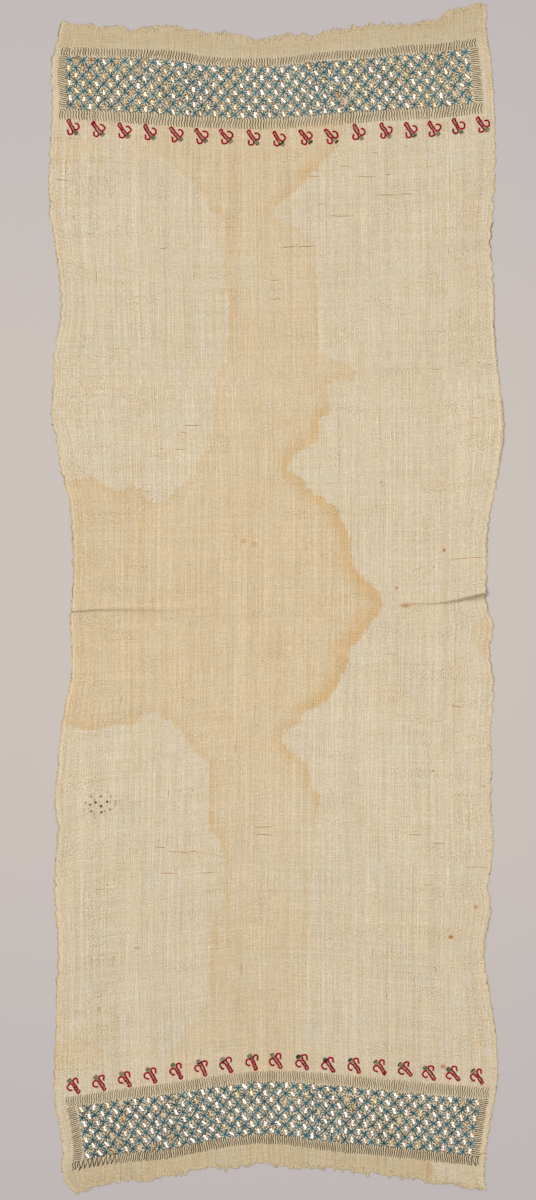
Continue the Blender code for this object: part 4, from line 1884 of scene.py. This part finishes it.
    def build_border(self) -> list[Piece]:
        """Lays the ladder all round: dark thread, and the pale ridges that stand between.

        Returns:
            The piece of the thread, and the piece of the ridges.
        """
        label = self.end.label
        made = []
        for dark, name, finish in (
            (True, "ladder_thread", WOUND_THREAD), (False, "ladder_ridges", DRAWN_GAUZE)
        ):
            self.rungs(0.0, self.outer_share, dark)
            self.rungs(1.0 - self.inner_share, 1.0, dark)
            self.side_rungs(0.0, self.side_share, dark)
            self.side_rungs(1.0 - self.side_share, 1.0, dark)
            made.append(self.spinner.spin(f"{label}_{name}", finish, 0.8))
        sides = [f"{label}_border_{side}" for side in ("outer", "inner", "left", "right")]
        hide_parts(*sides)
        return made

    def build(self) -> list[Piece]:
        """Makes the whole band."""
        return [self.build_stars(), self.build_strip(), self.build_rings(), *self.build_border()]


@dataclass
class SprigRow:
    """A row of crimson sprigs with tarnished heads."""

    plan: ClothPlan
    spinner: ThreadSpinner
    end: End
    silk_radius: float = 1.0
    metal_radius: float = 0.45
    scale: float = 0.98
    unevenness: float = 0.28
    turn_spread_degrees: float = 5.0
    head_radius: float = 3.2
    dark_share: float = 0.28

    def scrolls(self) -> list[Array]:
        """Draws the crimson lines of one sprig.

        Returns:
            Each line's points about the sprig's middle, in millimetres.
        """
        tip = [(-7.7, 5.0), (-7.2, 7.2), (-5.6, 8.2), (-4.2, 7.0)]
        stem_right = [(-4.9, 7.2), (-3.5, 5.0), (-1.6, 2.3), (0.4, -0.6), (1.6, -2.2)]
        stem_left = [(-6.6, 4.6), (-5.3, 2.5), (-3.7, 0.2), (-2.2, -1.8), (-1.1, -3.2)]
        right = [(1.1, 4.4), (3.3, 4.8), (5.6, 3.4), (6.5, 1.0), (5.5, -1.6), (2.9, -2.6)]
        right += [(0.9, -1.7)]
        left = [(-6.0, -2.9), (-5.3, -4.6), (-5.6, -6.6), (-4.4, -8.0), (-2.2, -8.2)]
        left += [(-0.5, -7.0), (-0.4, -4.9), (-1.1, -3.2)]
        return [np.array(line) for line in (stem_right, stem_left, right, left, tip)]

    def place(self, path: Array, middle: tuple[float, float], turn: float) -> Array:
        """Sets a path of the motif on the cloth.

        Args:
            path: The path about the motif's middle.
            middle: Where that middle lies.
            turn: A small turn of its own, beside that of its row.

        Returns:
            The path on the cloth.
        """
        c, s = math.cos(turn), math.sin(turn)
        return np.array(middle) + self.end.turn * self.scale * (path @ np.array([[c, s], [-s, c]]))

    def metal_lines(self, chance: Chance) -> list[Array]:
        """The metal stitches of one sprig: its round head, and specks down its stem.

        Args:
            chance: Random numbers that vary them a little.

        Returns:
            Each stitch's path about the sprig's middle.
        """
        lines = []
        head = np.array([3.3, -5.7])
        across = np.array([math.cos(math.radians(38.0)), math.sin(math.radians(38.0))])
        down = np.array([across[1], -across[0]])
        for step in np.linspace(-2.4, 2.4, 6):
            half = math.sqrt(max(0.5, self.head_radius**2 - step**2)) * chance.uniform(0.7, 1.1)
            middle = head + down * step
            lines.append(np.array([middle - across * half, middle, middle + across * half]))
        stem = np.array([-6.2, 6.4])
        way = np.array([6.9, -8.9])
        for share in np.linspace(-0.05, 1.0, 8):
            middle = stem + way * share + chance.normal(0.0, 0.2, 2)
            slant = np.array([0.5, 0.75]) * chance.uniform(0.7, 1.3)
            lines.append(np.array([middle - slant, middle, middle + slant]))
        return lines

    def refine(self, path: Array, count: int) -> Array:
        """Reads a path's points closer together, on a smooth curve.

        Args:
            path: The path.
            count: How many points are read.

        Returns:
            The new points.
        """
        lengths = np.concatenate([[0.0], np.cumsum(np.hypot(*np.diff(path, axis=0).T))])
        at = np.linspace(0.0, lengths[-1], count)
        return np.column_stack([smooth_curve(at, lengths, path[:, k]) for k in (0, 1)])

    def build(self) -> list[Piece]:
        """Makes the row: its silk, and then its metal.

        Returns:
            The piece of silk, and the piece of metal.
        """
        label = self.end.label
        centres = list(zip(SPRIGS[f"{label}_x"], SPRIGS[f"{label}_y"]))
        chance = np.random.default_rng(501 if self.end is End.TOP else 502)
        turns = chance.normal(0.0, math.radians(self.turn_spread_degrees), len(centres))
        for middle, turn in zip(centres, turns):
            for line in self.scrolls():
                path = line + chance.normal(0.0, self.unevenness, line.shape)
                path = self.place(self.refine(path, 2 * len(line) + 1), middle, turn)
                heights = np.full(len(path), 0.34)
                heights[[0, -1]] = -0.1
                self.spinner.add(path, heights, self.silk_radius, float(chance.uniform(0.2, 1.0)))
        silk = self.spinner.spin(f"{label}_sprig_silk", CRIMSON_FLOSS, 0.8)
        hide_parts(*[f"{label}_sprig_{k:02d}" for k in range(1, len(centres) + 1)])
        for middle, turn in zip(centres, turns):
            for core in self.metal_lines(chance):
                path = self.place(core, middle, turn)
                tint = 0.0 if chance.uniform() < self.dark_share else float(chance.uniform(0.35, 1.0))
                self.spinner.add(path, np.array([0.2, 0.75, 0.2]), self.metal_radius, tint)
        metal = self.spinner.spin(f"{label}_sprig_metal", TARNISHED_HEAD, 0.8)
        return [silk, metal]


@dataclass
class WornThreads:
    """Loose fibres along the raw ends, and coarse brown threads in the weave."""

    plan: ClothPlan
    spinner: ThreadSpinner
    fibre_pitch: float = 0.62
    fibre_reach: float = 3.4
    curl_pitch: float = 2.8
    crimp_pitch: float = 0.8
    knot_share: float = 0.12
    cord_step: float = 1.4
    cord_radius: float = 0.5
    loop_pitch: float = 5.0
    slub_radius: float = 0.38
    tuft_share: float = 0.6
    crimp_reach: float = 5.0
    dark_cord_share: float = 0.05

    def build_fray(self, end: End) -> Piece:
        """Tufts, curled fibres and small brown knots along one raw end.

        Args:
            end: Which end of the cloth.

        Returns:
            The piece of all its fibres.
        """
        chance = np.random.default_rng(601 if end is End.TOP else 602)
        outward = 1.0 if end is End.TOP else -1.0
        for pitch, add in (
            (self.fibre_pitch, self.add_fibre), (self.curl_pitch, self.add_curl),
            (self.crimp_pitch, self.add_crimp),
        ):
            count = int(self.plan.mean_width / pitch)
            across = np.clip((np.arange(count) + chance.uniform(size=count)) / count, 0.003, 0.997)
            x, y = self.plan.xy(across, np.full(count, ALONG[end.label]))
            for place in zip(x, y):
                add(np.array(place), outward, chance)
        return self.spinner.spin(f"{end.label}_raw_fibres", LOOSE_FIBRE)

    def add_fibre(self, root: Array, outward: float, chance: Chance) -> None:
        """Adds one tuft or one loose fibre that points out of the cloth.

        Args:
            root: X and Y on the raw end.
            outward: 1 at the top end, -1 at the bottom end.
            chance: Random numbers that vary it.
        """
        tuft = chance.uniform() < self.tuft_share
        bunch = 1.0 + 1.3 * float(wobble(root[0], 2.6, 51)) + 0.5 * float(wobble(root[0], 11.0, 52))
        stray = self.fibre_reach * chance.uniform(0.3, 1.0) ** 1.5
        reach = bunch * chance.uniform(0.4, 1.5) if tuft else stray
        lean = chance.normal(0.0, 0.4 if tuft else 0.8)
        tip = np.array([math.sin(lean), outward * math.cos(lean)]) * reach
        bend = chance.normal(0.0, 0.1 if tuft else 0.5, 2)
        start = root - np.array([0.0, outward * 1.2])
        path = np.array([start, start + 0.6 * tip + bend, start + tip + [0.0, outward * 1.2]])
        plump = chance.uniform(0.4, 0.8)
        radii = np.array([0.8, 0.75, 0.35]) * plump if tuft else np.array([0.2, 0.2, 0.14])
        tint = chance.uniform(0.6, 1.0)
        self.spinner.add(path, np.array([-0.05, -0.1, -0.2]), radii, float(tint))

    def add_curl(self, root: Array, outward: float, chance: Chance) -> None:
        """Adds one loop of a loosened thread, which makes a lump on the edge.

        Args:
            root: X and Y on the raw end.
            outward: 1 at the top end, -1 at the bottom end.
            chance: Random numbers that vary it.
        """
        half = chance.uniform(0.6, 1.7)
        rise = chance.uniform(0.9, 2.6) * (1.1 + float(wobble(root[0], 4.2, 53)))
        turns = np.linspace(0.0, math.pi, 6)
        path = np.column_stack([-half * np.cos(turns), outward * rise * np.sin(turns)])
        path = path + root - np.array([0.0, outward * 0.6]) + chance.normal(0.0, 0.15, path.shape)
        heights = 0.1 + 0.3 * np.sin(turns)
        self.spinner.add(path, heights, chance.uniform(0.45, 0.8), float(chance.uniform(0.55, 1.0)))

    def add_crimp(self, root: Array, outward: float, chance: Chance) -> None:
        """Adds one short loosened thread that lies on the cloth just inside the edge.

        Args:
            root: X and Y on the raw end.
            outward: 1 at the top end, -1 at the bottom end.
            chance: Random numbers that vary it.
        """
        inward = 0.7 + self.crimp_reach * chance.uniform() * chance.uniform()
        middle = root - np.array([0.0, outward * inward])
        angle = chance.normal(math.pi / 2.0, 0.7)
        half = np.array([math.cos(angle), math.sin(angle)]) * chance.uniform(0.5, 1.3)
        tint = chance.uniform(0.0, 0.3) if chance.uniform() < 0.3 else chance.uniform(0.7, 1.0)
        path = np.array([middle - half, middle + chance.normal(0.0, 0.25, 2), middle + half])
        self.spinner.add(path, np.array([-0.1, 0.1, -0.1]), chance.uniform(0.22, 0.4), float(tint))

    def build_selvedge_cords(self) -> Piece:
        """Lays the doubled outermost warp threads, a fine uneven cord at each side.

        Returns:
            The piece of both cords.
        """
        chance = np.random.default_rng(604)
        along = np.arange(2.5, ALONG["bottom"] - 2.5, self.cord_step)
        for side, across, seed in ((-1.0, 0.0, 61), (1.0, 1.0, 62)):
            self.add_loops(side, across, chance)
            x, y = self.plan.xy(np.full(len(along), across), along)
            x = x + side * (0.4 * wobble(along, 2.6, seed) + 0.5 * wobble(along, 6.5, seed + 5))
            radii = self.cord_radius * (1.0 + 0.35 * wobble(along, 2.4, seed + 10))
            tints = 0.72 + 0.35 * wobble(along, 5.0, seed + 15)
            dark = chance.uniform(size=len(along)) < self.dark_cord_share
            tints = np.clip(np.where(dark, 0.0, tints), 0.0, 1.0)
            for stretch in DIRTY_CORDS:
                dirty = (y < stretch["top"]) & (y > stretch["bottom"]) & (stretch["side"] == side)
                tints = np.where(dirty, stretch["tint"], tints)
            heights = 0.12 + 0.2 * wobble(along, 9.0, seed + 20)
            self.spinner.add(np.column_stack([x, y]), heights, radii, tints)
        return self.spinner.spin("selvedge_cords", LOOSE_FIBRE)

    def add_loops(self, side: float, across: float, chance: Chance) -> None:
        """Adds the small loops of weft that stand out past one selvedge.

        Args:
            side: -1 for the left selvedge, 1 for the right one.
            across: The selvedge's share of the width.
            chance: Random numbers that vary them.
        """
        along = np.cumsum(chance.uniform(self.loop_pitch * 0.4, self.loop_pitch * 1.6, 400))
        along = along[along < ALONG["bottom"] - 2.0]
        x, y = self.plan.xy(np.full(len(along), across), along)
        for k in range(len(along)):
            out = side * chance.uniform(0.3, 1.1)
            half = chance.uniform(0.4, 1.0)
            path = np.array([(0.0, half), (out, 0.3 * half), (out, -0.3 * half), (0.0, -half)])
            tint = 0.0 if chance.uniform() < self.knot_share else chance.uniform(0.5, 1.0)
            self.spinner.add(path + [x[k], y[k]], 0.05, 0.32, float(tint))

    def build_slubs(self) -> Piece:
        """Lays the coarse brown threads that show in the weave.

        Returns:
            The piece of all of them.
        """
        chance = np.random.default_rng(603)
        for slub in SLUBS:
            start = photo_to_cloth(slub["start_x"], slub["start_y"])
            end = photo_to_cloth(slub["end_x"], slub["end_y"])
            shares = np.linspace(0.0, 1.0, 7)[:, None]
            path = np.array(start) * (1.0 - shares) + np.array(end) * shares
            path = path + chance.normal(0.0, 0.12, path.shape)
            radii = self.slub_radius * np.array([0.4, 0.8, 1.0, 0.8, 1.0, 0.7, 0.35])
            radii = radii * (0.6 + 0.5 * slub["depth"])
            self.spinner.add(path, 0.1, radii, 1.0 - 0.8 * float(slub["depth"]))
        return self.spinner.spin("brown_slubs", SLUB_THREAD, 0.7)


@dataclass
class Studio:
    """A sheet of paper, soft even light, and a camera straight above."""

    camera_height: float = 4.0
    sensor: float = 36.0
    paper_half: float = 6000.0
    paper_drop: float = 0.05
    glow: float = 0.22
    overhead_watts: float = 30.1
    key_watts: float = 74.0

    def build_floor(self) -> Piece:
        """Lays the paper under the scarf.

        Returns:
            The floor.
        """
        half = self.paper_half
        places = ((-half, -half), (half, -half), (half, half), (-half, half))
        corners = [(x, y, -self.paper_drop) for x, y in places]
        floor = mesh_object("paper_floor", np.array(corners), [(0, 1, 2, 3)])
        floor.data.materials.append(Paper("smooth backing paper", "").build())
        return floor

    def add_softbox(
        self, name: str, place: tuple, size: tuple, watts: float, colour: tuple
    ) -> Piece:
        """Adds a soft rectangular light that faces the scarf's middle.

        Args:
            name: The light's name.
            place: Its position in metres.
            size: Its width and height in metres.
            watts: Its power.
            colour: Its colour.

        Returns:
            The light.
        """
        data = bpy.data.lights.new(name, "AREA")
        data.shape = "RECTANGLE"
        data.size, data.size_y = size
        data.energy = watts
        data.color = colour
        light = bpy.data.objects.new(name, data)
        light.location = place
        towards = -light.location
        light.rotation_euler = towards.to_track_quat("-Z", "Y").to_euler()
        light.visible_camera = False
        bpy.context.collection.objects.link(light)
        return light

    def build_light(self) -> None:
        """Light from overhead and the upper left, over an even glow all round."""
        world = bpy.data.worlds.new("studio")
        world.use_nodes = True
        glow = world.node_tree.nodes["Background"]
        glow.inputs["Color"].default_value = (0.97, 0.985, 1.0, 1.0)
        glow.inputs["Strength"].default_value = self.glow
        bpy.context.scene.world = world
        self.add_softbox("overhead", (0.2, 0.0, 2.0), (1.5, 2.4), self.overhead_watts, (1.0, 0.99, 0.97))
        self.add_softbox("key", (-2.6, 1.0, 4.2), (1.1, 1.1), self.key_watts, (1.0, 0.985, 0.96))

    def build_camera(self) -> Piece:
        """Sets a camera straight above the photograph's middle, framed as the photograph is.

        Returns:
            The camera.
        """
        centre_x, centre_y = photo_to_cloth(PHOTO_WIDTH / 2, PHOTO_HEIGHT / 2)
        data = bpy.data.cameras.new("above")
        data.sensor_width = self.sensor
        data.lens = self.sensor * self.camera_height / (PHOTO_HEIGHT * PHOTO_PIXEL * MM)
        data.dof.use_dof = False
        camera = bpy.data.objects.new("above", data)
        camera.location = (centre_x * MM, centre_y * MM, self.camera_height)
        bpy.context.collection.objects.link(camera)
        bpy.context.scene.camera = camera
        return camera

    def build(self) -> None:
        """Sets up the whole studio."""
        view = bpy.context.scene.view_settings
        view.view_transform = "Standard"
        view.look = "None"
        view.exposure = 0.0
        view.gamma = 1.0
        self.build_floor()
        self.build_light()
        self.build_camera()


def main() -> None:
    """Builds the scarf's looks round the CAD model."""
    logging.basicConfig(level=logging.INFO, format="%(name)s: %(message)s")
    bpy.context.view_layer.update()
    Studio().build()
    plan = ClothPlan()
    spinner = ThreadSpinner(plan)
    cloth = GroundCloth(plan, StainMap(), SilkGauze("ecru silk gauze", "ecru_gauze")).build()
    LOG.info("gauze_ground: %d faces", len(cloth.data.polygons))
    bands = (
        EmbroideredBand(
            plan, spinner, End.TOP, left=0.015, right=0.9755, outer_share=0.108, inner_share=0.16,
            first_row=0.17, phase=1.62, rung_pitch=2.95, outer_weight=1.05, star_weight=1.1, fade=0.18,
            gleam=0.44, loose=(),
        ),
        EmbroideredBand(
            plan, spinner, End.BOTTOM, left=0.025, right=0.987, outer_share=0.125, inner_share=0.145,
            first_row=0.17, phase=1.0, rung_pitch=2.5, outer_weight=1.5, star_weight=1.18, fade=0.0,
            gleam=0.72, loose=((0.01, 0.11), (0.975, 0.993)),
        ),
    )
    on_cloth = []
    for band in bands:
        on_cloth += band.build()
    for end in End:
        on_cloth += SprigRow(plan, spinner, end).build()
    worn = WornThreads(plan, spinner)
    on_cloth += [worn.build_fray(End.TOP), worn.build_fray(End.BOTTOM)]
    on_cloth += [worn.build_selvedge_cords(), worn.build_slubs()]


if __name__ == "__main__":
    main()
